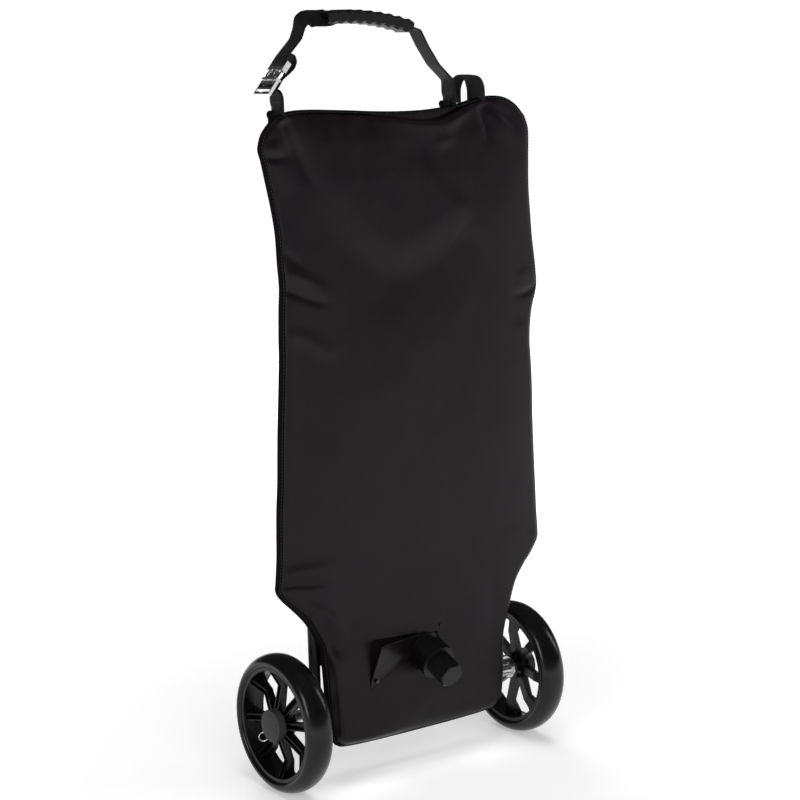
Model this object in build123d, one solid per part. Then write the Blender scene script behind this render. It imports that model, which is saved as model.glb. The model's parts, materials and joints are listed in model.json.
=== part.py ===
from build123d import *
import os
from math import atan2, cos, degrees, hypot, radians, sin, tan

# A foldable waste water tank on two wheels. A welded film tank hangs in a sewn cover, a moulded
# carrier behind the cover holds the axle, and a webbing handle with a buckle crosses the top.
# X is to the right seen from the front, the front faces -Y and Z is up. The wheels stand on Z = 0,
# and the origin is the middle of the whole object's box, on the floor.
# The tank, carrier and handle are drawn upright, with the axle on Y = 0, and leaned back at the end.

# Overall sizes
wheel_diameter = 170.0
track = 360.0
lean = 2.8
seam_offset = 26.0

# Cover
cover_top = 816.0
cover_bottom = 46.0
shoulder_half = 198.0
shoulder_z = 776.0
shoulder_round = 38.0
waist_half = 188.0
waist_z = 540.0
corner_half = 198.5
corner_z = 248.0
scallop_mid = (151.5, 197.0)
scallop_foot = (137.0, 140.0)
bottom_half = 128.0
bottom_round = 12.0
top_sag = 10.0
cover_wall = 1.4
cover_depth = 18.0
top_depth = 6.0
bottom_depth = 9.0
side_depth = 2.0
middle_depth = 21.0
crown_rise = 2.5
flat_low = 96.0
flat_high = 216.0
edge_rise = 1.5
edge_slope = 50.0
binding_width = 2.5
binding_thickness = 4.0
sewn_gap = 0.1
film_wall = 1.0
film_gap = 0.4

# Spout, all along one axis that starts on the cover's flat front
spout_z = 153.7
spout_drop = 24.4
neck_radius = 17.5
neck_wall = 3.5
neck_length = 28.0
flange_width = 16.5
flange_thickness = 3.0
collar_wall = 3.8
knurl_height = 0.9
knurl_count = 30
collar_start = 9.5
collar_end = 32.0
collar_front_wall = 2.5
gasket_thickness = 1.4
thread_gap = 0.3
tube_radius = 11.0
tube_wall = 3.0
tube_end = 57.0
ring_thickness = 1.5
ring_lap = 0.9
cap_start = 34.0
cap_end = 61.5
cap_side_wall = 2.95
cap_face_bevel = 2.45
seal_thickness = 1.4
flap_low = (-82.0, 114.5)
flap_high = (22.0, 171.0)
flap_corner_along = 33.3
flap_corner_out = 48.8
flap_open = 20.0
flap_thickness = 1.2
flap_gap = 0.7
flap_notch_gap = 2.8
panel_hole_gap = 3.4
rivet_head = 2.6

# Carrier, brackets and axle
carrier_half = 134.0
carrier_top = 212.0
carrier_thickness = 4.0
carrier_bottom = 52.0
carrier_foot_half = 118.0
carrier_step_z = 104.0
post_x = 138.0
post_y = -8.0
post_radius = 7.0
web_low = 150.0
carrier_gap = 0.1
rib_height = 5.0
rib_thickness = 2.4
rib_columns = (-44.0, 0.0, 44.0)
bracket_x = 98.0
bracket_width = 34.0
bracket_foot_height = 64.0
bracket_plate = 4.0
bracket_wall = 4.95
screw_spacing_z = 46.0
screw_radius = 2.5
screw_head_rise = 2.2
axle_radius = 6.0
axle_clearance = 0.05
spacer_wall = 4.95
rivet_columns = (-118.0, -70.0, -22.0, 22.0, 70.0, 118.0)
rivet_drop = 16.0
rivet_head_rise = 1.6

# Wheel, measured outwards from its middle plane. The catch's collar and lugs are heights above the axle.
tyre_half = 18.0
tread_height = 11.0
rim_radius = 69.8
rim_half = 14.8
rim_wall = 2.8
lip_height = 2.3
lip_width = 2.2
bond_gap = 0.05
spoke_count = 8
spoke_angle_left = -7.5
spoke_angle_right = 1.5
spoke_web = 2.4
spoke_rib_offset = 3.6
spoke_rib_thickness = 1.6
hub_wall = 6.9
hub_in = -8.0
hub_out = 9.5
bush_wall = 2.95
cap_rim = 3.5
cap_out = 19.4
cap_dome = 1.6
cap_dome_width = 7.0
cap_wall = 1.6
catch_angle = -48.0
catch_plane = 14.0
catch_radius = 1.5
catch_travel = 3.0
groove_depth = 1.8
groove_half = 2.0
pull_ring_major = 5.2
pull_ring_wire = 0.8
pin_eye_radius = 2.5
pin_eye_reach = 3.0
spring_wire = 0.6
spring_turns = 3
spring_collar = (3.7, 4.6)
lug_inner = (1.4, 3.4)
lug_outer = (9.6, 11.2)
washer_thickness = 2.4
running_gap = 0.3

# Handle, in its own upright plane behind the seam. Its heights are above the cover's top.
webbing_width = 25.0
webbing = 1.6
handle_y = -24.7
handle_foot_rise = 10.5
right_foot_x = 76.0
left_foot_x = -173.5
grip_left = (-106.0, 101.0)
grip_middle = (-45.0, 100.3)
grip_right = (16.5, 87.5)
strap_kink = (-128.0, 99.0)
buckle_low = (-185.0, 26.5)
buckle_slope = 50.3
grip_half_height = 6.4
grip_side_wall = 1.5
grip_bevel = 3.5
grip_bevel_drop = 2.4
tooth_height = 1.8
tooth_count = 9
tooth_gap = 0.3
tab_length = 52.0
socket_start = 8.0
socket_slot = (27.0, 31.0)
buckle_length = 34.0
buckle_rail = 2.5
buckle_face = 3.4
buckle_skin = 1.3
plug_slot = -0.6
arm_pivot = (6.0, 9.0)
arm_hub = 1.6
loop_left_x = 97.0
loop_right_x = 118.0
loop_rise = 28.0

wheel_radius = wheel_diameter / 2
seam_y = -seam_offset
front_y = seam_y - cover_depth
handle_foot_z = cover_top + handle_foot_rise
neck_bore = neck_radius - neck_wall
collar_radius = neck_radius + thread_gap + collar_wall
bush_radius = axle_radius + axle_clearance + bush_wall
hub_radius = bush_radius + sewn_gap + hub_wall
cap_radius = hub_radius + cap_rim
buckle_half = webbing_width / 2 + buckle_rail
nodes = {}


def on_xz(y):
    # A drawing plane at one depth: its x is X, its y is Z, and it extrudes towards -Y.
    return Plane(origin=(0, y, 0), x_dir=(1, 0, 0), z_dir=(0, -1, 0))


def tube(outer, inner, start, end):
    # A tube along local Z.
    length = end - start
    return Pos(0, 0, (start + end) / 2) * (Cylinder(outer, length) - Cylinder(inner, length))


def rod(radius, start, end):
    # A rod along local Z.
    return Pos(0, 0, (start + end) / 2) * Cylinder(radius, end - start)


def block(x, y, z):
    # A block from three pairs of limits.
    size = (x[1] - x[0], y[1] - y[0], z[1] - z[0])
    return Pos((x[0] + x[1]) / 2, (y[0] + y[1]) / 2, (z[0] + z[1]) / 2) * Box(*size)


def turned(points_or_wire):
    # A solid of revolution about local Z from a closed wire in the local XZ plane.
    return revolve(make_face(points_or_wire), axis=Axis.Z)


# Cover: one outline for the binding, the two panels and the film tank

def cover_outline(inset):
    with BuildSketch() as outline:
        with BuildLine():
            Line((0, cover_bottom), (bottom_half, cover_bottom))
            Line((bottom_half, cover_bottom), scallop_foot)
            ThreePointArc(scallop_foot, scallop_mid, (corner_half, corner_z))
            Line((corner_half, corner_z), (waist_half, waist_z))
            Line((waist_half, waist_z), (shoulder_half, shoulder_z))
            Line((shoulder_half, shoulder_z), (shoulder_half, cover_top))
            Line((shoulder_half, cover_top), (shoulder_half - 2 * shoulder_round, cover_top))
            Line((shoulder_half - 2 * shoulder_round, cover_top), (0, cover_top - top_sag))
            mirror(about=Plane.YZ)
        make_face()
        corners = outline.vertices()
        tips = [v for v in corners if v.Y > cover_top - 1 and abs(v.X) > shoulder_half - 1]
        fillet(tips, shoulder_round)
        corners = outline.vertices()
        feet = [v for v in corners if v.Y < cover_bottom + 1 and abs(v.X) > bottom_half - 1]
        fillet(feet, bottom_round)
    sketch = outline.sketch
    if inset:
        sketch = offset(sketch, amount=-inset)
    return sketch


def crown_side(depth):
    # The front's bulge seen from the side, with a flat stretch round the spout.
    y = seam_y + depth
    margin = 40.0
    top = (y - top_depth, cover_top)
    high = (y - cover_depth, flat_high)
    low = (y - cover_depth, flat_low)
    foot = (y - bottom_depth, cover_bottom)
    middle = ((top[0] + high[0]) / 2 - crown_rise, (top[1] + high[1]) / 2)
    heel = ((low[0] + foot[0]) / 2 - crown_rise / 2, (low[1] + foot[1]) / 2)
    with BuildSketch(Plane.YZ) as profile:
        with BuildLine():
            Line((top[0], cover_top + margin), top)
            ThreePointArc(top, middle, high)
            Line(high, low)
            ThreePointArc(low, heel, foot)
            Polyline(
                foot,
                (foot[0], cover_bottom - margin),
                (seam_y, cover_bottom - margin),
                (seam_y, cover_top + margin),
                (top[0], cover_top + margin),
            )
        make_face()
    return extrude(profile.sketch, amount=2 * corner_half, both=True)


def crown_across(depth):
    # The front's bulge seen from above.
    edge = seam_y + depth - side_depth
    with BuildSketch(Plane.XY) as profile:
        with BuildLine():
            ThreePointArc((-corner_half, edge), (0, seam_y + depth - middle_depth), (corner_half, edge))
            Polyline((corner_half, edge), (corner_half, 0), (-corner_half, 0), (-corner_half, edge))
        make_face()
    return extrude(profile.sketch, amount=2 * cover_top)


def pillow(depth):
    # The bag's front half as one solid, this deep under the cover's outside, thin all round its edge.
    slope = radians(edge_slope)
    rise = edge_rise - depth * (1 / cos(slope) - 1) / tan(slope)
    outline = cover_outline(panel_inset + depth)
    rim = extrude(on_xz(seam_y) * outline, amount=rise)
    crown = extrude(on_xz(seam_y - rise) * outline, amount=middle_depth, taper=edge_slope)
    return (rim + crown) & crown_side(depth) & crown_across(depth)


def spout_plane():
    # Local Z runs out along the spout, from the cover's front face.
    direction = (0, -cos(radians(spout_drop)), -sin(radians(spout_drop)))
    return Plane(origin=(0, front_y, spout_z), x_dir=(1, 0, 0), z_dir=direction)


panel_inset = binding_width + sewn_gap
flange_front = front_y + cover_wall + film_gap
flange_back = flange_front + flange_thickness


def flap_frame():
    # The flap's fold line on the cover's front: its start, its direction and its length.
    run = (flap_high[0] - flap_low[0], flap_high[1] - flap_low[1])
    length = hypot(*run)
    start = Vector(flap_low[0], front_y + flap_thickness / 2, flap_low[1])
    return start, degrees(atan2(run[1], run[0])), length


def flap_face(grow):
    # The flap's outline in the plane of the cover's front, with its fold along local x.
    start, angle, length = flap_frame()
    corners = [
        (-grow, flap_gap - grow),
        (flap_corner_along, flap_corner_out + 2 * grow),
        (length + grow, flap_gap - grow),
    ]
    plane = on_xz(0)
    return plane * (Pos(start.X, start.Z) * Rot(0, 0, angle) * make_face(Polyline(*corners, close=True)))


def make_cover():
    ring = cover_outline(0) - cover_outline(binding_width)
    binding = extrude(on_xz(seam_y + binding_thickness / 2) * ring, amount=binding_thickness)
    shell = pillow(0) - pillow(cover_wall)
    spout_hole = spout_plane() * rod(collar_radius + panel_hole_gap, -3 * cover_depth, 2 * cover_depth)
    spout_hole &= block((-90, 90), (front_y - 10, front_y + 2 * cover_wall), (spout_z - 90, spout_z + 90))
    slit = extrude(flap_face(flap_gap), amount=cover_depth)
    slit = Pos(0, front_y + 2 * cover_wall, 0) * slit
    shell = shell - spout_hole - slit
    back = extrude(on_xz(seam_y + sewn_gap + cover_wall) * cover_outline(panel_inset), amount=cover_wall)
    nodes["edge_binding"] = binding
    nodes["front_panel"] = shell
    nodes["back_panel"] = back


def make_film_tank():
    shallow = cover_wall + film_gap
    deep = shallow + film_wall
    reach = 2 * cover_top
    outside = pillow(shallow) & block((-reach, reach), (-reach, seam_y - film_gap), (0, reach))
    inside = pillow(deep) & block((-reach, reach), (-reach, seam_y - film_gap - film_wall), (0, reach))
    seat_way = Pos(0, flange_back, spout_z) * Rot(90, 0, 0)
    seat_radius = neck_radius + flange_width + film_gap
    seat = seat_way * rod(seat_radius, 0, cover_depth)
    inner_seat = seat_way * rod(seat_radius + film_wall, -film_wall, cover_depth)
    mouth = spout_plane() * rod(neck_bore, -cover_depth, 0)
    mouth &= block((-90, 90), (front_y, flange_back + film_gap + 2 * film_wall), (0, 2 * spout_z))
    nodes["film_tank"] = (outside - seat) - (inside - inner_seat) - mouth


# Spout: a welded neck, a screw collar with a pouring tube, and its cap

def make_spout():
    axis = spout_plane()
    flange_radius = neck_radius + flange_width
    flange = Pos(0, flange_back, spout_z) * Rot(90, 0, 0) * rod(flange_radius, 0, flange_thickness)
    reach_back = 20.0
    neck = axis * rod(neck_radius, -reach_back, neck_length)
    neck &= block((-90, 90), (-300, flange_back), (0, 300))
    bore = axis * rod(neck_bore, -2 * reach_back, neck_length + 1)
    nodes["tank_neck"] = flange + neck - bore

    collar = tube(collar_radius, neck_radius + thread_gap, collar_start, collar_end - collar_front_wall)
    tube_bore = tube_radius - tube_wall
    collar += tube(collar_radius, tube_bore, collar_end - collar_front_wall, collar_end)
    collar += tube(tube_radius, tube_bore, collar_end, tube_end)
    rib_run = collar_end - collar_start - 4
    rib = Pos(collar_radius, 0, (collar_start + collar_end) / 2) * Box(2 * knurl_height, 1.9, rib_run)
    for index in range(knurl_count):
        collar += Rot(0, 0, index * 360 / knurl_count) * rib
    nodes["screw_collar"] = axis * collar

    gasket_start = neck_length + sewn_gap
    gasket_end = gasket_start + gasket_thickness - 2 * sewn_gap
    gasket = tube(neck_radius - thread_gap, neck_bore, gasket_start, gasket_end)
    nodes["collar_gasket"] = axis * gasket
    ring_end = collar_end + ring_thickness
    ring = tube(collar_radius + ring_lap, tube_radius + thread_gap, collar_end + sewn_gap, ring_end)
    nodes["collar_ring"] = axis * ring

    flat = tube_radius + thread_gap + cap_side_wall
    corner = flat / cos(radians(30))
    body = Pos(0, 0, cap_start) * extrude(RegularPolygon(flat, 6, major_radius=False), cap_end - cap_start)
    with BuildLine(Plane.XZ) as side:
        Polyline(
            (0, cap_start),
            (corner + 1, cap_start),
            (corner + 1, cap_end - cap_face_bevel),
            (corner - cap_face_bevel, cap_end),
            (0, cap_end),
            close=True,
        )
    body &= turned(side.line)
    body += tube(flat + 1.2, tube_radius + thread_gap, cap_start, cap_start + 2.5)
    seal_start = tube_end + sewn_gap
    body -= rod(tube_radius + thread_gap, cap_start - 1, seal_start + seal_thickness)
    nodes["spout_cap"] = axis * body
    nodes["cap_seal"] = axis * rod(tube_radius, seal_start, seal_start + seal_thickness - sewn_gap)


def make_flap():
    start, angle, length = flap_frame()
    closed = extrude(flap_face(0), amount=flap_thickness)
    closed = Pos(0, front_y + flap_thickness, 0) * closed
    fold = Axis((start.X, start.Y, start.Z), (cos(radians(angle)), 0, sin(radians(angle))))
    flap = closed.rotate(fold, flap_open)
    flap -= spout_plane() * rod(neck_radius + flap_notch_gap, -3 * cover_depth, 2 * cover_depth)
    # The notch cuts the narrow end off, and the flap stops at the collar.
    flap = max(flap.solids(), key=lambda piece: piece.volume)
    nodes["spout_flap"] = flap

    stud_place = Pos(start.X, start.Y, start.Z) * Rot(0, -angle, 0) * Pos(13, 0, 5)
    stud = stud_place * Rot(90, 0, 0) * rod(rivet_head, flap_thickness / 2, flap_thickness / 2 + 1.2)
    nodes["flap_stud"] = stud.rotate(fold, flap_open)
    end = Pos(flap_high[0] + 6, front_y, flap_high[1] + 5) * Rot(90, 0, 0)
    nodes["slit_rivet"] = end * rod(rivet_head, 0, 1.2)


# Carrier: a moulded panel behind the cover, with beaded sides, ribs and seats for the brackets

carrier_front = seam_y + binding_thickness / 2 + carrier_gap
carrier_back = carrier_front + carrier_thickness


def carrier_outline():
    with BuildSketch() as outline:
        with BuildLine():
            Polyline(
                (0, carrier_bottom),
                (carrier_foot_half, carrier_bottom),
                (carrier_foot_half, carrier_step_z - 12),
                (carrier_half, carrier_step_z),
                (carrier_half, carrier_top),
                (0, carrier_top),
            )
            mirror(about=Plane.YZ)
        make_face()
        low = [v for v in outline.vertices() if v.Y < carrier_step_z - 1 and v.X != 0]
        fillet(low, 8)
    return outline.sketch


def make_carrier():
    panel = extrude(on_xz(carrier_back) * carrier_outline(), amount=carrier_thickness)
    for side in (-1, 1):
        post = Pos(side * post_x, post_y, 0) * rod(post_radius, carrier_step_z, carrier_top)
        foot = Cone(post_radius / 2, post_radius, post_radius)
        post += Pos(side * post_x, post_y, carrier_step_z - post_radius / 2) * foot
        web_x = sorted((side * carrier_half, side * (carrier_half - carrier_thickness)))
        panel += post + block(web_x, (carrier_front, post_y), (web_low, carrier_top))
    rib_y = (carrier_back - 1, carrier_back + rib_height)
    half = rib_thickness / 2
    wide = carrier_half - carrier_thickness
    narrow = bracket_x - bracket_width / 2 - 2
    rows = (
        (wide, carrier_top - half),
        (wide, web_low),
        (narrow, carrier_bottom + half),
    )
    for reach, z in rows:
        panel += block((-reach, reach), rib_y, (z - half, z + half))
    for x in rib_columns:
        panel += block((x - half, x + half), rib_y, (carrier_bottom, carrier_top))
    for x in rivet_columns:
        way = Pos(x, 0, carrier_top - rivet_drop) * Rot(90, 0, 0)
        panel -= way * rod(screw_radius + sewn_gap, 0, cover_top)
    for x, z in bracket_screws():
        panel -= Pos(x, 0, z) * Rot(90, 0, 0) * rod(screw_radius + sewn_gap, 0, cover_top)
    nodes["axle_carrier"] = panel


def bracket_screws():
    # One screw above and one below the axle on each side of each bracket's boss.
    places = []
    for side in (-1, 1):
        for x in (-9.0, 9.0):
            for z in (-screw_spacing_z / 2, screw_spacing_z / 2):
                places.append((side * bracket_x + x, wheel_radius + z))
    return places


def make_brackets():
    for side, name in ((-1, "left"), (1, "right")):
        bracket_boss = axle_radius + axle_clearance + bracket_wall
        low = wheel_radius - bracket_foot_height / 2
        high = wheel_radius + bracket_foot_height / 2
        x_range = (side * bracket_x - bracket_width / 2, side * bracket_x + bracket_width / 2)
        seat = carrier_back + sewn_gap
        with BuildSketch(Plane.YZ) as profile:
            with BuildLine():
                Line((seat, low), (seat + bracket_plate, low))
                Line((seat + bracket_plate, low), (seat + bracket_plate, low + 12))
                Line((seat + bracket_plate, low + 12), (0, wheel_radius - bracket_boss))
                ThreePointArc(
                    (0, wheel_radius - bracket_boss),
                    (bracket_boss, wheel_radius),
                    (0, wheel_radius + bracket_boss),
                )
                Line((0, wheel_radius + bracket_boss), (seat + bracket_plate, high - 12))
                Line((seat + bracket_plate, high - 12), (seat + bracket_plate, high))
                Line((seat + bracket_plate, high), (seat, high))
                Line((seat, high), (seat, low))
            make_face()
        body = Pos(x_range[0], 0, 0) * extrude(profile.sketch, amount=bracket_width)
        body -= Pos(0, 0, wheel_radius) * Rot(0, 90, 0) * rod(axle_radius + axle_clearance, -track, track)
        screws = Part()
        for x, z in bracket_screws():
            if x * side > 0:
                way = Pos(x, 0, z) * Rot(90, 0, 0)
                body -= way * rod(screw_radius + sewn_gap, -50, 100)
                body -= way * rod(2 * screw_radius, -50, -(seat + bracket_plate))
                head = way * Pos(0, 0, -(seat + bracket_plate) - screw_head_rise)
                head = head * extrude(RegularPolygon(2 * screw_radius - 0.6, 6), screw_head_rise)
                shank = way * rod(screw_radius, -(seat + bracket_plate), -carrier_front - 0.5)
                screws += head + shank
        nodes["axle_bracket_" + name] = body
        nodes["bracket_screws_" + name] = screws


def make_cover_rivets():
    rivets = Part()
    for x in rivet_columns:
        way = Pos(x, 0, carrier_top - rivet_drop) * Rot(90, 0, 0)
        head = way * Pos(0, 0, -carrier_back - rivet_head_rise)
        head = head * extrude(RegularPolygon(2 * screw_radius, 16), rivet_head_rise)
        rivets += head + way * rod(screw_radius, -carrier_back, -carrier_front)
    nodes["cover_rivets"] = rivets


# Axle and wheels: drawn once with local Z outwards from the wheel's middle plane

def wheel_plane():
    # Local x is the back, local y is up and local z is outwards on the right-hand wheel.
    return Plane(origin=(track / 2, 0, wheel_radius), x_dir=(0, 1, 0), z_dir=(1, 0, 0))


def placed(solid, side):
    solid = wheel_plane() * solid
    if side < 0:
        solid = mirror(solid, about=Plane.YZ)
    return solid


def make_axle():
    reach = track / 2 + cap_out - cap_wall - 1.5
    axle = Pos(0, 0, wheel_radius) * Rot(0, 90, 0) * rod(axle_radius, -reach, reach)
    for side in (-1, 1):
        middle = side * (track / 2 + catch_plane)
        groove = tube(axle_radius + 1, axle_radius - groove_depth, middle - groove_half, middle + groove_half)
        axle -= Pos(0, 0, wheel_radius) * Rot(0, 90, 0) * groove
    nodes["axle_rod"] = axle
    for side, name in ((-1, "left"), (1, "right")):
        hub_face = track / 2 + hub_in
        washer_end = hub_face - running_gap
        spacer_start = bracket_x + bracket_width / 2 + running_gap
        spacer_end = washer_end - washer_thickness
        way = Pos(0, 0, wheel_radius) * Rot(0, 90 * side, 0)
        bore = axle_radius + axle_clearance
        nodes["axle_spacer_" + name] = way * tube(bore + spacer_wall, bore, spacer_start, spacer_end)
        washer = tube(hub_radius - 2, bore, spacer_end + sewn_gap, washer_end)
        nodes["wheel_washer_" + name] = way * washer


def rim_profile():
    # One closed section of the barrel, as (radius, place across the wheel).
    bed = rim_radius - lip_height
    inside = bed - rim_wall
    with BuildLine(Plane.XZ) as line:
        Polyline(
            (inside + 1, -rim_half),
            (rim_radius, -rim_half),
            (rim_radius, -rim_half + lip_width),
            (bed, -rim_half + lip_width),
            (bed, rim_half - lip_width),
            (rim_radius, rim_half - lip_width),
            (rim_radius, rim_half),
            (inside + 1, rim_half),
            (inside, 0),
            close=True,
        )
    return line.line


def tyre_profile():
    bed = rim_radius - lip_height + bond_gap
    edge = rim_half - lip_width - bond_gap
    lip = rim_radius + bond_gap
    shoulder = wheel_radius - tread_height
    tread = []
    for angle in (60, 36, 12, -12, -36, -60):
        height = tread_height * cos(radians(angle)) / cos(radians(12))
        tread.append((shoulder + height, tyre_half * sin(radians(angle))))
    with BuildLine(Plane.XZ) as line:
        Polyline((lip, -rim_half), (lip, -edge), (bed, -edge), (bed, edge), (lip, edge), (lip, rim_half))
        Polyline((lip, rim_half), (shoulder, tyre_half), *tread, (shoulder, -tyre_half), (lip, -rim_half))
    return line.line


def make_spoke():
    # A channel along local x: a bent web, open outwards, between two ribs.
    start = bush_radius + 4
    bend = 46.0
    end = rim_radius - lip_height - rim_wall / 2
    web_low = ((start, -1.0), (bend, -7.0), (end, -3.0))
    web = [*web_low, *((radius, height + spoke_web) for radius, height in reversed(web_low))]
    rib = [*web_low, (end, 11.0), (end - 3, 11.0), (bend, 1.2), (hub_radius + 2, hub_out), (start, hub_out)]
    plate = extrude(Plane.XZ * make_face(Polyline(*web, close=True)), amount=14, both=True)
    with BuildSketch() as plan:
        with BuildLine():
            Polyline((start, 0), (start, 4.6), (42.0, 5.2), (58.0, 7.4), (end + 1, 13.0), (end + 1, 0))
            mirror(about=Plane.XZ)
        make_face()
    spoke = plate & extrude(plan.sketch, amount=40, both=True)
    for side in (-1, 1):
        wall = make_face(Polyline(*rib, close=True))
        wall = extrude(Plane.XZ * wall, amount=spoke_rib_thickness / 2, both=True)
        spoke += Pos(0, side * spoke_rib_offset, 0) * wall
    return spoke


def above_axle(reach):
    return [axle_radius + height for height in reach]


def catch_lugs():
    # Two small lugs on the hub's face that guide the catch and hold its spring.
    lugs = []
    for reach in (lug_inner, lug_outer):
        lugs.append(block(above_axle(reach), (-3.0, 3.0), (hub_out - 1, catch_plane + catch_radius + 1.4)))
    return lugs


def cap_profile():
    # Half of the hub cap's section: a drum with a low dome.
    with BuildLine(Plane.XZ) as line:
        Polyline(
            (0, hub_out + bond_gap),
            (cap_radius, hub_out + bond_gap),
            (cap_radius, cap_out),
            (cap_radius - cap_wall / 2, cap_out + cap_dome / 3),
            (cap_radius - cap_dome_width, cap_out + cap_dome),
            (0, cap_out + cap_dome),
            close=True,
        )
    return line.line


def make_wheel(side, name, spoke_angle):
    rim = turned(rim_profile())
    rim += tube(hub_radius, bush_radius + sewn_gap, hub_in, hub_out)
    rim += tube(cap_radius - cap_wall - bond_gap, cap_radius - cap_wall - 2, hub_out - 2.2, hub_out + 2)
    spoke = make_spoke()
    rim += [Rot(0, 0, spoke_angle + index * 360 / spoke_count) * spoke for index in range(spoke_count)]
    catch_way = Rot(0, 0, catch_angle) * Pos(0, 0, catch_plane) * Rot(0, 90, 0)
    for lug in catch_lugs():
        rim += Rot(0, 0, catch_angle) * lug
    rim -= rod(bush_radius + sewn_gap, hub_in - 1, hub_out + 1)
    rim -= catch_way * rod(catch_radius + axle_clearance, 0, 40)
    nodes["wheel_rim_" + name] = placed(rim, side)
    nodes["tyre_" + name] = placed(turned(tyre_profile()), side)
    bush = tube(bush_radius, axle_radius + axle_clearance, hub_in, hub_out)
    nodes["wheel_bush_" + name] = placed(bush, side)

    cap = turned(cap_profile())
    cap -= rod(cap_radius - cap_wall, hub_out, cap_out - cap_wall)
    cap -= catch_way * rod(catch_radius + 1.3, 10, 40)
    nodes["hub_cap_" + name] = placed(cap, side)

    # The catch: a pin whose tip sits in the axle's groove, with a collar for its spring and an eye.
    pin = rod(catch_radius, axle_radius - groove_depth + running_gap, pin_eye_at())
    pin += rod(catch_radius + 0.9, *above_axle(spring_collar))
    outwards, tangent, facing = ring_axes()
    eye = Plane(origin=pin_eye(), z_dir=tangent)
    pin = catch_way * pin + eye * rod(pin_eye_radius, -catch_radius, catch_radius)
    pin -= eye * rod(pull_ring_wire + 0.5, -5, 5)
    nodes["catch_pin_" + name] = placed(pin, side)
    nodes["pull_ring_" + name] = placed(pull_ring(), side)
    spring_start = above_axle(spring_collar)[1] + sewn_gap
    spring_end = above_axle(lug_outer)[0] - sewn_gap
    nodes["catch_spring_" + name] = placed(catch_way * make_spring(spring_start, spring_end), side)


def pin_eye_at():
    return cap_radius + pin_eye_reach


def pin_eye():
    # The middle of the pin's eye, in the wheel's own directions.
    angle = radians(catch_angle)
    return Vector(pin_eye_at() * cos(angle), pin_eye_at() * sin(angle), catch_plane)


def ring_axes():
    # From the eye to the ring's middle, the wire's direction at the eye, and the way the ring faces.
    outwards = Vector(0.54, -0.41, 0.73).normalized()
    facing = Vector(-0.74, 0.175, 0.645)
    facing = (facing - outwards * facing.dot(outwards)).normalized()
    return outwards, facing.cross(outwards).normalized(), facing


def pull_ring():
    outwards, tangent, facing = ring_axes()
    middle = pin_eye() + outwards * pull_ring_major
    wire = Plane.XZ * Pos(pull_ring_major, 0) * RegularPolygon(pull_ring_wire, 8)
    return Plane(origin=middle, z_dir=facing) * revolve(wire, axis=Axis.Z)


def make_spring(start, end):
    # A coil of square wire round the pin, between the collar and the outer lug.
    pitch = (end - start - spring_wire) / spring_turns
    radius = catch_radius + sewn_gap + spring_wire / 2
    path = Pos(0, 0, start + spring_wire / 2) * Helix(pitch, pitch * spring_turns, radius)
    section = Plane(origin=path @ 0, z_dir=path % 0) * Rectangle(spring_wire, spring_wire)
    return sweep(section, path=path, is_frenet=True)


# Handle: one length of webbing from the buckle through the grip to the right foot

def ribbon(path, thickness, width, y=handle_y):
    face = trace(path, line_width=thickness)
    return Pos(0, y + width / 2, 0) * extrude(on_xz(0) * face, amount=width)


def above_edge():
    # The room that the cover takes below its top edge, for pieces that stand on that edge.
    grown = cover_outline(-sewn_gap)
    return extrude(on_xz(seam_y + webbing_width) * grown, amount=2 * webbing_width)


def above_top(point):
    # A point of the handle's plane, from its height above the cover's top.
    return (point[0], cover_top + point[1])


def buckle_plane():
    # Local x runs up the buckle from its lower end, local y is the webbing's width, local z faces out.
    slope = radians(buckle_slope)
    return Plane(
        origin=(buckle_low[0], handle_y, cover_top + buckle_low[1]),
        x_dir=(cos(slope), 0, sin(slope)),
        z_dir=(-sin(slope), 0, cos(slope)),
    )


def buckle_point(along, out=0.0):
    place = buckle_plane().from_local_coords(Vector(along, 0, out))
    return (place.X, place.Z)


def foot_disc(x):
    # The webbing's round end, about the line that the handle swings on.
    return Pos(x, handle_y, handle_foot_z) * Rot(0, 90, 0) * Cylinder(webbing_width / 2, webbing)


def foot_end(x):
    low = (handle_foot_z - webbing_width, handle_foot_z)
    side = (handle_y - webbing_width, handle_y + webbing_width)
    return foot_disc(x) & block((x - webbing, x + webbing), side, low)


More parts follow.
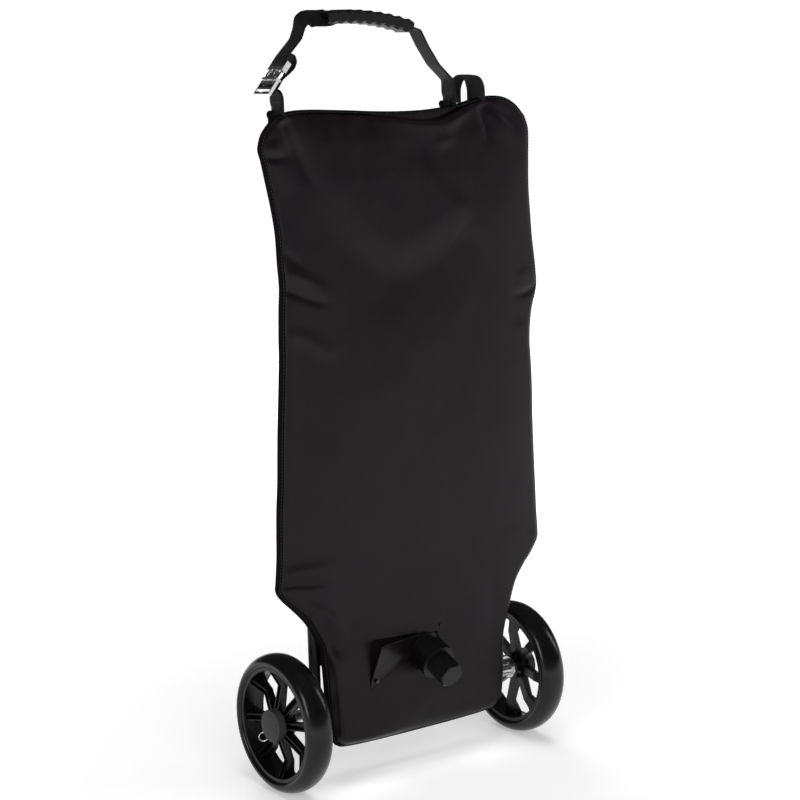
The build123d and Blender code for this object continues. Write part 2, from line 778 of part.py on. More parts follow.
def make_straps():
    arc = ThreePointArc(above_top(grip_left), above_top(grip_middle), above_top(grip_right))
    top_out = buckle_face + webbing / 2 + sewn_gap
    with BuildLine() as upper:
        slot = socket_slot[0] + 2.0
        FilletPolyline(
            buckle_point(slot, -1.5),
            buckle_point(slot, top_out),
            buckle_point(buckle_length + 6, top_out),
            above_top(strap_kink),
            above_top(grip_left),
            radius=1.6,
        )
        ThreePointArc(above_top(grip_left), above_top(grip_middle), above_top(grip_right))
        bend = arc @ 1 + (arc % 1) * 12
        FilletPolyline(
            above_top(grip_right),
            (bend.X, bend.Y),
            (right_foot_x, handle_foot_z + webbing_width / 2),
            (right_foot_x, handle_foot_z),
            radius=8,
        )
    nodes["handle_strap"] = ribbon(upper.line, webbing, webbing_width) + foot_end(right_foot_x)
    nodes["grip"] = make_grip(arc)

    with BuildLine() as lower:
        FilletPolyline(
            buckle_point(plug_slot, 1.2),
            buckle_point(plug_slot, -3.2),
            (left_foot_x, handle_foot_z + 6),
            (left_foot_x, handle_foot_z),
            radius=1.6,
        )
    nodes["lower_strap"] = ribbon(lower.line, webbing, webbing_width) + foot_end(left_foot_x)

    tail_out = -buckle_face - webbing / 2 - film_gap
    with BuildLine() as tail:
        Line(buckle_point(5, tail_out), buckle_point(buckle_length + 2, tail_out))
    nodes["strap_tail"] = ribbon(tail.line, webbing, webbing_width)

    with BuildLine() as loop:
        half = (loop_right_x - loop_left_x) / 2
        loop_top_z = cover_top + loop_rise
        spring_z = loop_top_z - half
        Line((loop_left_x, cover_top - top_sag), (loop_left_x, spring_z))
        ThreePointArc((loop_left_x, spring_z), (loop_left_x + half, loop_top_z), (loop_right_x, spring_z))
        Line((loop_right_x, spring_z), (loop_right_x, cover_top - top_sag))
    nodes["hang_loop"] = ribbon(loop.line, webbing, webbing_width) - above_edge()


def grip_outline(arc, drop):
    # The sleeve's side view: teeth along both edges, all of it lower by the drop given.
    steps = 2 * tooth_count
    upper, lower = [], []
    for index in range(steps + 1):
        share = index / steps
        point = arc @ share
        along = arc % share
        across = Vector(-along.Y, along.X)
        height = grip_half_height - drop + (tooth_height if index % 2 else 0)
        upper.append(point + across * height)
        lower.append(point - across * height)
    corners = [(p.X, p.Y) for p in (*lower, *reversed(upper))]
    return make_face(Polyline(*corners, close=True))


def make_grip(arc):
    # A moulded sleeve on the webbing, bevelled along its sides and toothed along its upper and lower edges.
    full = grip_outline(arc, 0)
    straight = webbing_width / 2 + grip_side_wall - grip_bevel
    body = extrude(full, amount=straight, both=True)
    edge = Pos(0, 0, straight + grip_bevel) * grip_outline(arc, grip_bevel_drop)
    side = loft([Pos(0, 0, straight) * full, edge], ruled=True)
    body += side + mirror(side, about=Plane.XY)
    return on_xz(handle_y) * body - ribbon(arc, webbing + 2 * tooth_gap, webbing_width + 2 * tooth_gap)


def make_buckle():
    # A skeleton side-release buckle: the socket above, the plug with two sprung arms below.
    frame = buckle_plane()
    half = buckle_half
    face = buckle_face
    inner = buckle_face - buckle_skin
    through = (-2 * face, 2 * face)
    socket = block((socket_start, buckle_length), (-half, half), (-face, face))
    socket -= block((socket_start - 1, socket_slot[0] - 3), (-half + 2.2, half - 2.2), (-inner, inner))
    socket -= block(socket_slot, (-half + 2, half - 2), through)
    for side in (-1, 1):
        socket -= block((socket_start + 2.5, 21), (side * half - 4.5, side * half + 4.5), through)
        socket -= block((socket_start + 4, 22), (side * 5.2 - 2.6, side * 5.2 + 2.6), through)
    nodes["buckle_socket"] = frame * socket

    base = block((-12, socket_start - 0.4), (-half, half), (-2.0, 2.0))
    for slot in (plug_slot - 6.8, plug_slot):
        base -= block((slot - 2, slot + 2), (-half + 2, half - 2), through)
    base += block((socket_start - 0.4, 22), (-1.6, 1.6), (-1.6, 1.6))
    for side in (-1, 1):
        base -= Pos(arm_pivot[0], side * arm_pivot[1], 0) * rod(arm_hub + sewn_gap, *through)
        room = (side * arm_pivot[1] - 2.7, side * arm_pivot[1] + 2.7)
        base -= block((arm_pivot[0], socket_start), room, through)
    nodes["buckle_plug"] = frame * base

    with BuildSketch() as plan:
        with BuildLine():
            Polyline((0, -1.2), (6.0, 0.6), (13.4, 1.0), (13.4, 4.6), (11.0, 5.6), (5.6, 4.2), (0, 1.2))
            Line((0, 1.2), (0, -1.2))
        make_face()
    arm = extrude(plan.sketch, amount=1.7, both=True) + rod(arm_hub, -1.7, 1.7)
    arm = Pos(*arm_pivot) * arm
    nodes["buckle_arm_front"] = frame * mirror(arm, about=Plane.XZ)
    nodes["buckle_arm_back"] = frame * arm


def make_anchors():
    # Webbing tabs sewn on the back panel. Each turns up over the edge beside the handle's foot.
    front = seam_y + binding_thickness / 2 + sewn_gap
    cover_room = extrude(on_xz(front) * cover_outline(-sewn_gap), amount=2 * webbing_width)
    inside = extrude(on_xz(front + webbing) * cover_outline(binding_width), amount=webbing)
    half = webbing_width / 2
    for foot_x, name in ((left_foot_x, "strap_tab_left"), (right_foot_x, "strap_tab_right")):
        x = foot_x + webbing + 2 * sewn_gap
        flat = block((x - half, x + half), (front, front + webbing), (cover_top - tab_length, cover_top))
        flat &= inside
        neck_x = (x - webbing / 2, x + half / 2)
        neck = block(neck_x, (front, front + webbing), (cover_top - tab_length, handle_foot_z - half / 2))
        side = (handle_y - half, handle_y + half)
        upright = block((x - webbing / 2, x + webbing / 2), side, (cover_top - top_sag, handle_foot_z))
        nodes[name] = flat + neck + ((upright + foot_disc(x)) - cover_room)


make_cover()
make_film_tank()
make_spout()
make_flap()
make_carrier()
make_brackets()
make_cover_rivets()
make_axle()
make_wheel(-1, "left", spoke_angle_left)
make_wheel(1, "right", spoke_angle_right)
make_straps()
make_buckle()
make_anchors()

# Everything but the axle and the wheels leans back about the axle.
upright = Axis((0, 0, wheel_radius), (1, 0, 0))
level = ("axle_rod", "axle_spacer", "wheel_", "tyre_", "hub_cap", "catch_", "pull_ring")
for name, solid in nodes.items():
    if not name.startswith(level):
        nodes[name] = solid.rotate(upright, -lean)

box = Compound(list(nodes.values())).bounding_box()
middle_y = (box.min.Y + box.max.Y) / 2
print("middle_y", round(middle_y, 4), "box", [round(v, 3) for v in (*box.min, *box.max)])

os.makedirs("parts", exist_ok=True)
for name, solid in nodes.items():
    moved = Pos(0, -middle_y, 0) * solid
    export_step(moved, "parts/" + name + ".step")
    print(name, round(moved.volume, 1))
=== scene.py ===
import json
import math
import bmesh
import bpy
import numpy as np
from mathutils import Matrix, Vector, noise

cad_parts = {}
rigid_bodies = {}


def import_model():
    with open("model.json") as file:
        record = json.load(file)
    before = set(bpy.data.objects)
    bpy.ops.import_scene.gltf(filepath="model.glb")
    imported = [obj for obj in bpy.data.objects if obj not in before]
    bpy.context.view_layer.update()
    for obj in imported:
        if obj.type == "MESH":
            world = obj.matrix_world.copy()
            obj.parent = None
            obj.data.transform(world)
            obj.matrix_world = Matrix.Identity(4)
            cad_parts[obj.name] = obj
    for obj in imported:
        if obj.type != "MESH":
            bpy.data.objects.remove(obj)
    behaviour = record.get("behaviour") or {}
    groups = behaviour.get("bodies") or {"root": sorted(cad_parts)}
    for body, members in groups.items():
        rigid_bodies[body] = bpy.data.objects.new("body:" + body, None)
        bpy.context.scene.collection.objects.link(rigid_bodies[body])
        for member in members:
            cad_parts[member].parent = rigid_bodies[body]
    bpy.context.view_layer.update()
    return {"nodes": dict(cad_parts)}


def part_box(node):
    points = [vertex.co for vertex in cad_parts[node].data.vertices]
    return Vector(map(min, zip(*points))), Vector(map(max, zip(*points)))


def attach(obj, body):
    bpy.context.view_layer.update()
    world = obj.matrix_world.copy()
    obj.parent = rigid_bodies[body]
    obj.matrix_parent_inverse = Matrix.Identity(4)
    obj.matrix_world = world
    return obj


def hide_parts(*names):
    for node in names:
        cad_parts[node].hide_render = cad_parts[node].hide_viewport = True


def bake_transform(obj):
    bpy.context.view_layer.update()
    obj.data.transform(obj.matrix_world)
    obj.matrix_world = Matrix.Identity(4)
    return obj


for old in list(bpy.data.objects):
    bpy.data.objects.remove(old)
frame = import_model()
nodes = frame["nodes"]
print("frame loaded:", len(nodes), "nodes")

# How the bag stands: everything but the wheels leans back about the axle. Millimetres and degrees.
bagStand = {"lean": 2.8, "axleHeight": 85.0, "backShift": 8.9641, "seamY": -26.0}


def inRow(points):
    # Points of the upright bag in millimetres, leaned back, in metres
    p = np.asarray(points, float)
    lean = math.radians(bagStand["lean"])
    rise = p[..., 2] - bagStand["axleHeight"]
    y = p[..., 1] * math.cos(lean) + rise * math.sin(lean) + bagStand["backShift"]
    z = bagStand["axleHeight"] - p[..., 1] * math.sin(lean) + rise * math.cos(lean)
    return np.stack([p[..., 0], y, z], -1) / 1000


def lengths(p):
    # How far along a run of points each one lies
    return np.concatenate([[0], np.cumsum(np.linalg.norm(np.diff(p, axis=0), axis=1))])


def evenly(p, count):
    # The same run with its points evenly spaced
    along = lengths(p)
    at = np.linspace(0, along[-1], count)
    return np.stack([np.interp(at, along, p[:, k]) for k in range(p.shape[1])], -1)


def unit(directions):
    return directions / np.linalg.norm(directions, axis=1)[:, None]


def smoothLine(points, count):
    # A smooth line through the points, with its own points evenly spaced
    p = np.asarray(points, float)
    ends = np.vstack([2 * p[0] - p[1], p, 2 * p[-1] - p[-2]])
    t = np.linspace(0, 1, 24, endpoint=False)[:, None]
    runs = []
    for i in range(len(p) - 1):
        a, b, c, d = ends[i:i + 4]
        runs.append(0.5 * (2 * b + (c - a) * t + (2 * a - 5 * b + 4 * c - d) * t ** 2
                           + (3 * b - a - 3 * c + d) * t ** 3))
    return evenly(np.vstack(runs + [p[-1:]]), count)


def smoothStep(value, low, high):
    t = np.clip((np.asarray(value, float) - low) / (high - low), 0, 1)
    return t * t * (3 - 2 * t)


def softLeast(values, softness):
    # The least of several heights, rounded where they cross
    total = sum(np.exp(-v / softness) for v in values)
    return -softness * np.log(total)


def awayFrom(x, z, line):
    # Distance to a line on the cover, which side of it, and how far along it
    best = np.full(x.shape, 1e9)
    side = np.zeros(x.shape)
    share = np.zeros(x.shape)
    for i in range(len(line) - 1):
        a, run = line[i], line[i + 1] - line[i]
        t = np.clip(((x - a[0]) * run[0] + (z - a[1]) * run[1]) / (run @ run), 0, 1)
        dx, dz = x - a[0] - t * run[0], z - a[1] - t * run[1]
        far = np.hypot(dx, dz)
        nearer = far < best
        best = np.where(nearer, far, best)
        side = np.where(nearer, np.sign(run[0] * dz - run[1] * dx), side)
        share = np.where(nearer, (i + t) / (len(line) - 1), share)
    return best, side, share


def addPiece(name, data):
    piece = bpy.data.objects.new(name, data)
    bpy.context.scene.collection.objects.link(piece)
    return piece


def meshPiece(name, points, faces, material, along=None, closed=True, smooth=True):
    # along holds each point's place on the cloth or webbing in metres, for its UV map
    mesh = bpy.data.meshes.new(name)
    places = [tuple(p) for p in np.asarray(points, float).reshape(-1, 3)]
    mesh.from_pydata(places, [], [tuple(f) for f in faces])
    if along is not None:
        corners = np.zeros(len(mesh.loops), int)
        mesh.loops.foreach_get("vertex_index", corners)
        layer = mesh.uv_layers.new(name="weave")
        layer.data.foreach_set("uv", np.asarray(along, np.float32).reshape(-1, 2)[corners].ravel())
    mesh.materials.append(material)
    if closed:
        work = bmesh.new()
        work.from_mesh(mesh)
        bmesh.ops.recalc_face_normals(work, faces=work.faces)
        work.to_mesh(mesh)
        work.free()
    mesh.polygons.foreach_set("use_smooth", [smooth] * len(mesh.polygons))
    return addPiece(name, mesh)


def gridFaces(rows, columns, turn=False):
    index = np.arange(rows * columns).reshape(rows, columns)
    a, b, c, d = index[:-1, :-1], index[:-1, 1:], index[1:, 1:], index[1:, :-1]
    quads = np.stack([a, b, c, d] if not turn else [a, d, c, b], -1)
    return quads.reshape(-1, 4).tolist()


def settle(piece):
    # The piece with its modifiers made part of its mesh
    graph = bpy.context.evaluated_depsgraph_get()
    mesh = bpy.data.meshes.new_from_object(piece.evaluated_get(graph), depsgraph=graph)
    piece.modifiers.clear()
    piece.data = mesh
    return piece


def shadeSmooth(piece):
    piece.data.polygons.foreach_set("use_smooth", [True] * len(piece.data.polygons))
    return piece


def thicken(piece, thickness, offset=-1):
    # A sheet given its wall as part of its mesh
    wall = piece.modifiers.new("wall", "SOLIDIFY")
    wall.thickness, wall.offset = thickness, offset
    return shadeSmooth(settle(piece))


def carry(piece, body, slot, *stoodFor):
    if body:
        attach(piece, body)
    if stoodFor:
        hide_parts(*stoodFor)
    return piece


# Materials

def put(tree, kind, feeds=None, **settings):
    # One node with its inputs linked or set. A kind without "Node" in its name is a shader's.
    node = tree.nodes.new(kind if "Node" in kind else "ShaderNode" + kind)
    for key, value in settings.items():
        setattr(node, key, value)
    for key, value in (feeds or {}).items():
        if isinstance(value, bpy.types.NodeSocket):
            tree.links.new(value, node.inputs[key])
        else:
            node.inputs[key].default_value = value
    return node


def sums(tree, operation, *values):
    return put(tree, "Math", dict(enumerate(values)), operation=operation).outputs[0]


def weigh(tree, first, firstShare, second, secondShare):
    return sums(tree, "ADD", sums(tree, "MULTIPLY", first, firstShare),
                sums(tree, "MULTIPLY", second, secondShare))


def spread(tree, value, low, high, fromLow=0.0, fromHigh=1.0):
    feeds = {0: value, 1: fromLow, 2: fromHigh, 3: low, 4: high}
    return put(tree, "MapRange", feeds).outputs[0]


def blendTones(tree, share, first, second):
    feeds = {0: share, 6: first, 7: second}
    return put(tree, "Mix", feeds, data_type="RGBA").outputs[2]


def tone(red, green, blue):
    return (red, green, blue, 1.0)


def startFinish(name, sockets):
    material = bpy.data.materials.new(name)
    material.use_nodes = True
    tree = material.node_tree
    shader = tree.nodes["Principled BSDF"]
    for key, value in sockets.items():
        shader.inputs[key].default_value = value
    return material, tree, shader


def speckle(tree, place, scale, detail=3.0, roughness=0.55):
    feeds = {"Vector": place, "Scale": scale, "Detail": detail, "Roughness": roughness}
    return put(tree, "TexNoise", feeds).outputs["Fac"]


def feed(tree, shader, colour, roughness, normal):
    for key, value in (("Base Color", colour), ("Roughness", roughness), ("Normal", normal)):
        tree.links.new(value, shader.inputs[key])


def bumps(tree, heights):
    # heights: (height socket, strength, distance in metres), the coarsest first
    normal = None
    for height, strength, distance in heights:
        feeds = {"Height": height, "Strength": strength, "Distance": distance}
        if normal:
            feeds["Normal"] = normal
        normal = put(tree, "Bump", feeds).outputs[0]
    return normal


mouldedLooks = {
    # dark and light tone, roughness low and high, grains per metre and their depth, specular level
    "carrierPlastic": {"tones": (tone(.0035, .0035, .0038), tone(.0070, .0070, .0074)), "rough": (.36, .5),
                       "grain": 1500, "depth": .00006, "specular": .22},
    "rimPlastic": {"tones": (tone(.0024, .0024, .0026), tone(.0050, .0050, .0054)), "rough": (.24, .38),
                   "grain": 1900, "depth": .00004, "specular": .28},
    "hubCapPlastic": {"tones": (tone(.030, .029, .029), tone(.044, .043, .043)), "rough": (.5, .62),
                      "grain": 2600, "depth": .00003, "specular": .25},
    "spoutPlastic": {"tones": (tone(.0024, .0024, .0027), tone(.0050, .0050, .0054)), "rough": (.3, .44),
                     "grain": 1700, "depth": .00004, "specular": .22},
    "capPlastic": {"tones": (tone(.0030, .0028, .0030), tone(.0058, .0055, .0058)), "rough": (.34, .46),
                   "grain": 1700, "depth": .00004, "specular": .24},
    "bushPlastic": {"tones": (tone(.42, .41, .38), tone(.5, .49, .46)), "rough": (.34, .46),
                    "grain": 1500, "depth": .00003, "specular": .45},
    "gasketRubber": {"tones": (tone(.004, .004, .004), tone(.008, .008, .008)), "rough": (.6, .75),
                     "grain": 2200, "depth": .00004, "specular": .2},
    "gripRubber": {"tones": (tone(.0028, .0026, .0028), tone(.0068, .0065, .0068)), "rough": (.3, .46),
                   "grain": 2400, "depth": .00005, "specular": .24},
    "ringTrim": {"tones": (tone(.0045, .0043, .0045), tone(.010, .0096, .010)), "rough": (.3, .42),
                 "grain": 1500, "depth": .00002, "specular": .18},
}


def mouldedFinish(name):
    look = mouldedLooks[name]
    material, tree, shader = startFinish(name, {"Specular IOR Level": look["specular"]})
    place = put(tree, "TexCoord").outputs["Object"]
    clouds = speckle(tree, place, 34.0, 4.0)
    scuffs = speckle(tree, place, 160.0, 6.0, .7)
    grain = put(tree, "TexVoronoi", {"Vector": place, "Scale": look["grain"]}, feature="SMOOTH_F1").outputs[0]
    flow = speckle(tree, place, 12.0, 2.0)
    mixed = weigh(tree, clouds, .6, scuffs, .4)
    share = spread(tree, mixed, 0, 1, .32, .68)
    heights = [(flow, .12, .0006), (grain, .35, look["depth"])]
    feed(tree, shader, blendTones(tree, share, *look["tones"]), spread(tree, scuffs, *look["rough"], .3, .7),
         bumps(tree, heights))
    return material


metalLooks = {
    # dark and light tone, roughness low and high, brushed lines per metre along the axes where across is 30
    "polishedSteel": {"tones": (tone(.50, .50, .51), tone(.64, .64, .65)), "rough": (.16, .3), "brush": 900,
                      "across": (1, 30, 30)},
    "screwSteel": {"tones": (tone(.24, .24, .25), tone(.36, .36, .37)), "rough": (.28, .42), "brush": 1400,
                   "across": (30, 1, 30)},
    "studMetal": {"tones": (tone(.05, .05, .052), tone(.10, .10, .104)), "rough": (.35, .5), "brush": 1400,
                  "across": (1, 30, 30)},
    "turnedAluminium": {"tones": (tone(.66, .66, .67), tone(.80, .80, .81)), "rough": (.22, .36),
                        "brush": 1800, "across": (30, 1, 1)},
    "buckleMetal": {"tones": (tone(.70, .70, .71), tone(.90, .90, .91)), "rough": (.08, .2), "brush": 700,
                    "across": (1, 30, 8)},
}


def metalFinish(name):
    look = metalLooks[name]
    material, tree, shader = startFinish(name, {"Metallic": 1.0})
    place = put(tree, "TexCoord").outputs["Object"]
    lines = put(tree, "Mapping", {"Vector": place, "Scale": look["across"]}).outputs[0]
    brushed = speckle(tree, lines, look["brush"] / 30, 4.0, .6)
    spots = speckle(tree, place, 240.0, 5.0, .65)
    share = spread(tree, spots, 0, 1, .3, .7)
    rough = weigh(tree, brushed, .5, spots, .5)
    feed(tree, shader, blendTones(tree, share, *look["tones"]), spread(tree, rough, *look["rough"], .3, .7),
         bumps(tree, [(spots, .08, .0003), (brushed, .12, .00004)]))
    return material


coatedCloth = {
    "dark": tone(.0056, .0040, .0043), "light": tone(.0076, .0054, .0057),
    "plum": tone(.0060, .0036, .0064), "rubbedGain": 1.5,
    "threadsPerMetre": 1250.0, "weaveDepth": .00005, "roughness": (.27, .38), "specular": .155,
}


def coatedClothFinish(name):
    # Woven cloth under a satin coating: the weave only just shows, and handling marks change its gloss
    look = coatedCloth
    material, tree, shader = startFinish(name, {"Specular IOR Level": look["specular"]})
    coords = put(tree, "TexCoord").outputs
    place, flat = coords["Object"], coords["UV"]
    broad = speckle(tree, place, 3.2, 2.0)
    cloudy = speckle(tree, place, 17.0, 4.0)
    rubbed = speckle(tree, place, 75.0, 6.0, .7)
    fine = speckle(tree, place, 520.0, 3.0)
    cross = []
    for turn in (0, math.pi / 2):
        turned = put(tree, "Mapping", {"Vector": flat, "Rotation": (0, 0, turn)}).outputs[0]
        feeds = {"Vector": turned, "Scale": look["threadsPerMetre"] / 6.2832, "Distortion": .4, "Detail": 1.0}
        cross.append(put(tree, "TexWave", feeds, wave_type="BANDS").outputs["Fac"])
    weave = sums(tree, "MAXIMUM", *cross)
    base = blendTones(tree, spread(tree, broad, 0, 1, .38, .62), look["dark"], look["plum"])
    base = blendTones(tree, spread(tree, cloudy, 0, .8, .35, .7), base, look["light"])
    pale = tone(*(look["rubbedGain"] * v for v in look["light"][:3]))
    base = blendTones(tree, spread(tree, rubbed, 0, .35, .5, .75), base, pale)
    worn = weigh(tree, cloudy, .5, rubbed, .5)
    heights = [(cloudy, .10, .0025), (rubbed, .10, .0006), (weave, .35, look["weaveDepth"]),
               (fine, .10, .00006)]
    feed(tree, shader, base, spread(tree, worn, *look["roughness"], .35, .65), bumps(tree, heights))
    return material


tapeLooks = {
    # low and raised tone, ribs and rows per metre and their depth, roughness low and high, gloss and fuzz
    "strapWebbing": {"tones": (tone(.0022, .0022, .0025), tone(.0095, .0095, .010)), "ribs": 620, "rows": 480,
                     "depth": .00028, "rough": (.5, .7), "specular": .2, "sheen": .03},
    "edgeTape": {"tones": (tone(.0035, .003, .0032), tone(.0085, .007, .0074)), "ribs": 1100, "rows": 700,
                 "depth": .00015, "rough": (.6, .8), "specular": .04, "sheen": 0.0},
}


def tapeFinish(name):
    # Woven tape: ribs across it, in staggered rows that run along it
    look = tapeLooks[name]
    sockets = {"Specular IOR Level": look["specular"], "Sheen Weight": look["sheen"], "Sheen Roughness": .4}
    material, tree, shader = startFinish(name, sockets)
    coords = put(tree, "TexCoord").outputs
    spot = put(tree, "SeparateXYZ", {0: coords["UV"]}).outputs
    row = sums(tree, "FLOOR", sums(tree, "MULTIPLY", spot[1], look["rows"]))
    shift = sums(tree, "MULTIPLY", sums(tree, "MODULO", row, 2.0), 3.14159)
    wave = sums(tree, "MULTIPLY", spot[0], 6.2832 * look["ribs"])
    rib = sums(tree, "SINE", sums(tree, "ADD", wave, shift))
    crossing = sums(tree, "MULTIPLY", spot[1], 3.14159 * look["rows"])
    strand = sums(tree, "ABSOLUTE", sums(tree, "SINE", crossing))
    raised = sums(tree, "MULTIPLY", spread(tree, rib, .15, 1, -1, 1), strand)
    fuzz = speckle(tree, coords["Object"], 900.0, 5.0, .7)
    faded = speckle(tree, coords["Object"], 30.0, 3.0)
    share = sums(tree, "MULTIPLY", raised, spread(tree, faded, .35, 1, .3, .7))
    feed(tree, shader, blendTones(tree, share, *look["tones"]), spread(tree, fuzz, *look["rough"], .3, .7),
         bumps(tree, [(raised, .8, look["depth"]), (fuzz, .3, .0001)]))
    return material


def threadFinish():
    material, tree, shader = startFinish("sewingThread", {"Specular IOR Level": .3})
    place = put(tree, "TexCoord").outputs["Object"]
    fibres = speckle(tree, place, 2600.0, 3.0)
    colour = blendTones(tree, fibres, tone(.015, .015, .016), tone(.05, .048, .05))
    feed(tree, shader, colour, spread(tree, fibres, .55, .8), bumps(tree, [(fibres, .4, .0001)]))
    return material


tyreLook = {"tones": (tone(.0030, .0030, .0032), tone(.0060, .0058, .0060)), "rough": (.18, .28),
            "specular": .3}


def tyreFinish():
    # Cast elastomer: smooth and glossy, with faint flow marks, rubbed patches and fine pores
    material, tree, shader = startFinish("castTyre", {"Specular IOR Level": tyreLook["specular"]})
    place = put(tree, "TexCoord").outputs["Object"]
    flow = speckle(tree, place, 22.0, 3.0)
    pores = speckle(tree, place, 1300.0, 3.0)
    rubbed = speckle(tree, place, 120.0, 6.0, .7)
    share = weigh(tree, flow, .5, rubbed, .5)
    share = spread(tree, share, 0, 1, .35, .65)
    feed(tree, shader, blendTones(tree, share, *tyreLook["tones"]),
         spread(tree, rubbed, *tyreLook["rough"], .3, .7),
         bumps(tree, [(flow, .06, .002), (rubbed, .05, .0003), (pores, .08, .00006)]))
    return material


def filmFinish():
    # Nearly black welded film, cloudy and slightly wrinkled
    material, tree, shader = startFinish("tankFilm", {"Specular IOR Level": .2})
    place = put(tree, "TexCoord").outputs["Object"]
    cloudy = speckle(tree, place, 9.0, 4.0)
    wrinkles = speckle(tree, place, 40.0, 5.0, .7)
    colour = blendTones(tree, cloudy, tone(.004, .004, .0045), tone(.009, .009, .0098))
    feed(tree, shader, colour, spread(tree, wrinkles, .25, .45), bumps(tree, [(wrinkles, .3, .002)]))
    return material


finishes = {name: mouldedFinish(name) for name in mouldedLooks}
for metal in metalLooks:
    finishes[metal] = metalFinish(metal)
finishes["coatedCloth"] = coatedClothFinish("coatedCloth")
for tape in tapeLooks:
    finishes[tape] = tapeFinish(tape)
finishes["sewingThread"] = threadFinish()
finishes["castTyre"] = tyreFinish()
finishes["tankFilm"] = filmFinish()
print("finishes made:", len(finishes))

tyreShape = {"half": 18.0, "shoulder": 74.0, "crown": 85.0, "bead": 69.85, "beadHalf": 14.6, "segments": 160,
             "arcPoints": 25, "flank": (.6, 1.6), "toe": (1.2, .5)}


def tyrePiece(name, node, body):
    # A cast tyre turned round the wheel's axis: rounded tread, sloping sides, flat seat on the rim
    shape = tyreShape
    low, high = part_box(node)
    middle = (low + high) / 2
    arc = np.linspace(0, math.pi, shape["arcPoints"])
    tread = np.stack([shape["half"] * np.cos(arc), shape["shoulder"]
                      + (shape["crown"] - shape["shoulder"]) * np.sin(arc)], -1)
    half, shoulder, bead, beadHalf = (shape[k] for k in ("half", "shoulder", "bead", "beadHalf"))
    (flankIn, flankDrop), (toeOut, toeRise) = shape["flank"], shape["toe"]
    seat = [(-half + flankIn, shoulder - flankDrop), (-beadHalf - toeOut, bead + toeRise), (-beadHalf, bead),
            (0, bead), (beadHalf, bead), (beadHalf + toeOut, bead + toeRise),
            (half - flankIn, shoulder - flankDrop)]
    profile = np.vstack([tread, seat]) / 1000
    turns = np.linspace(0, 2 * math.pi, shape["segments"], endpoint=False)
    points = np.stack([middle.x + np.broadcast_to(profile[None, :, 0], (len(turns), len(profile))),
                       middle.y + profile[None, :, 1] * np.sin(turns)[:, None],
                       middle.z + profile[None, :, 1] * np.cos(turns)[:, None]], -1)
    index = np.arange(points.shape[0] * points.shape[1]).reshape(points.shape[:2])
    around, along = np.roll(index, -1, axis=0), np.roll(index, -1, axis=1)
    both = np.roll(around, -1, axis=1)
    faces = np.stack([index, along, both, around], -1).reshape(-1, 4).tolist()
    tyre = meshPiece(name, points, faces, finishes["castTyre"])
    return carry(tyre, body, "tyre", node)


for side in ("left", "right"):
    tyre = tyrePiece("tyre" + side.title(), "tyre_" + side, "wheel_" + side)
    print(tyre.name + ":", len(tyre.data.polygons), "faces")

# Which finish each kept CAD node gets
nodeFinishes = {
    "carrierPlastic": ("axle_carrier", "axle_bracket_left", "axle_bracket_right"),
    "rimPlastic": ("wheel_rim_left", "wheel_rim_right"),
    "hubCapPlastic": ("hub_cap_left", "hub_cap_right"),
    "bushPlastic": ("wheel_bush_left", "wheel_bush_right"),
    "spoutPlastic": ("tank_neck", "screw_collar", "slit_rivet"),
    "capPlastic": ("spout_cap",),
    "gasketRubber": ("collar_gasket", "cap_seal"),
    "ringTrim": ("collar_ring",),
    "gripRubber": ("grip",),
    "turnedAluminium": ("axle_spacer_left", "axle_spacer_right"),
    "polishedSteel": ("axle_rod", "catch_pin_left", "catch_pin_right", "pull_ring_left", "pull_ring_right",
                      "catch_spring_left", "catch_spring_right", "wheel_washer_left", "wheel_washer_right"),
    "screwSteel": ("bracket_screws_left", "bracket_screws_right", "cover_rivets"),
    "studMetal": ("flap_stud",),
    "buckleMetal": ("buckle_socket", "buckle_plug", "buckle_arm_front", "buckle_arm_back"),
}
for finish, names in nodeFinishes.items():
    for name in names:
        node = nodes[name]
        if not node.data.materials:
            node.data.materials.append(None)
        for slotIndex in range(len(node.data.materials)):
            node.data.materials[slotIndex] = finishes[finish]

# The cover's outline on its seam, upright, in millimetres across and up. Cloth pulls in between its corners.
coverEdge = {
    "left": ((-124, 52), (-131, 62), (-134.5, 80), (-136.5, 110), (-138, 140),
             (-139.8, 160), (-142.5, 178), (-150, 192), (-160, 208), (-170, 220), (-182, 232),
             (-194.5, 244.5), (-201, 255), (-200, 268), (-197.5, 295), (-196.5, 322), (-195, 352),
             (-192.5, 381), (-191, 411), (-189.5, 440), (-187.3, 470), (-185.2, 499), (-183.3, 528),
             (-182.6, 557), (-181.2, 586), (-179.4, 612), (-181, 640), (-182.3, 673), (-186.5, 702),
             (-192.5, 731), (-198, 757), (-201.6, 770), (-200.5, 779), (-196.5, 789), (-190, 797)),
    "right": ((124, 52), (131, 62), (134.5, 80), (136, 110), (137.3, 141), (139.6, 152),
             (142.8, 163), (147.5, 176), (152.3, 190), (156.3, 201), (161.3, 211), (168, 220),
             (175.5, 229), (185.5, 239.5), (197, 256), (198.2, 268), (197, 291), (196, 324), (195, 356),
             (194.2, 388), (193.6, 421), (193.8, 452), (192.8, 484), (191.4, 516), (195, 548),
             (202, 570), (204.6, 582), (203.2, 606), (199, 640), (196.6, 673), (194.8, 704),
             (195.4, 738), (196.4, 765), (195.6, 778), (190.5, 792)),
    "top": ((-190, 797), (-177, 808), (-158, 812.5), (-130, 813), (-80, 810), (-40, 807),
             (0, 805), (40, 805), (80, 808.5), (112, 814.5), (138, 817), (160, 814.5), (177, 806),
             (190.5, 792)),
    "bottom": ((-124, 52), (-112, 47.5), (-70, 45.5), (0, 45), (70, 45.5), (112, 47.5), (124, 52)),
    "columns": 150, "rows": 290,
}


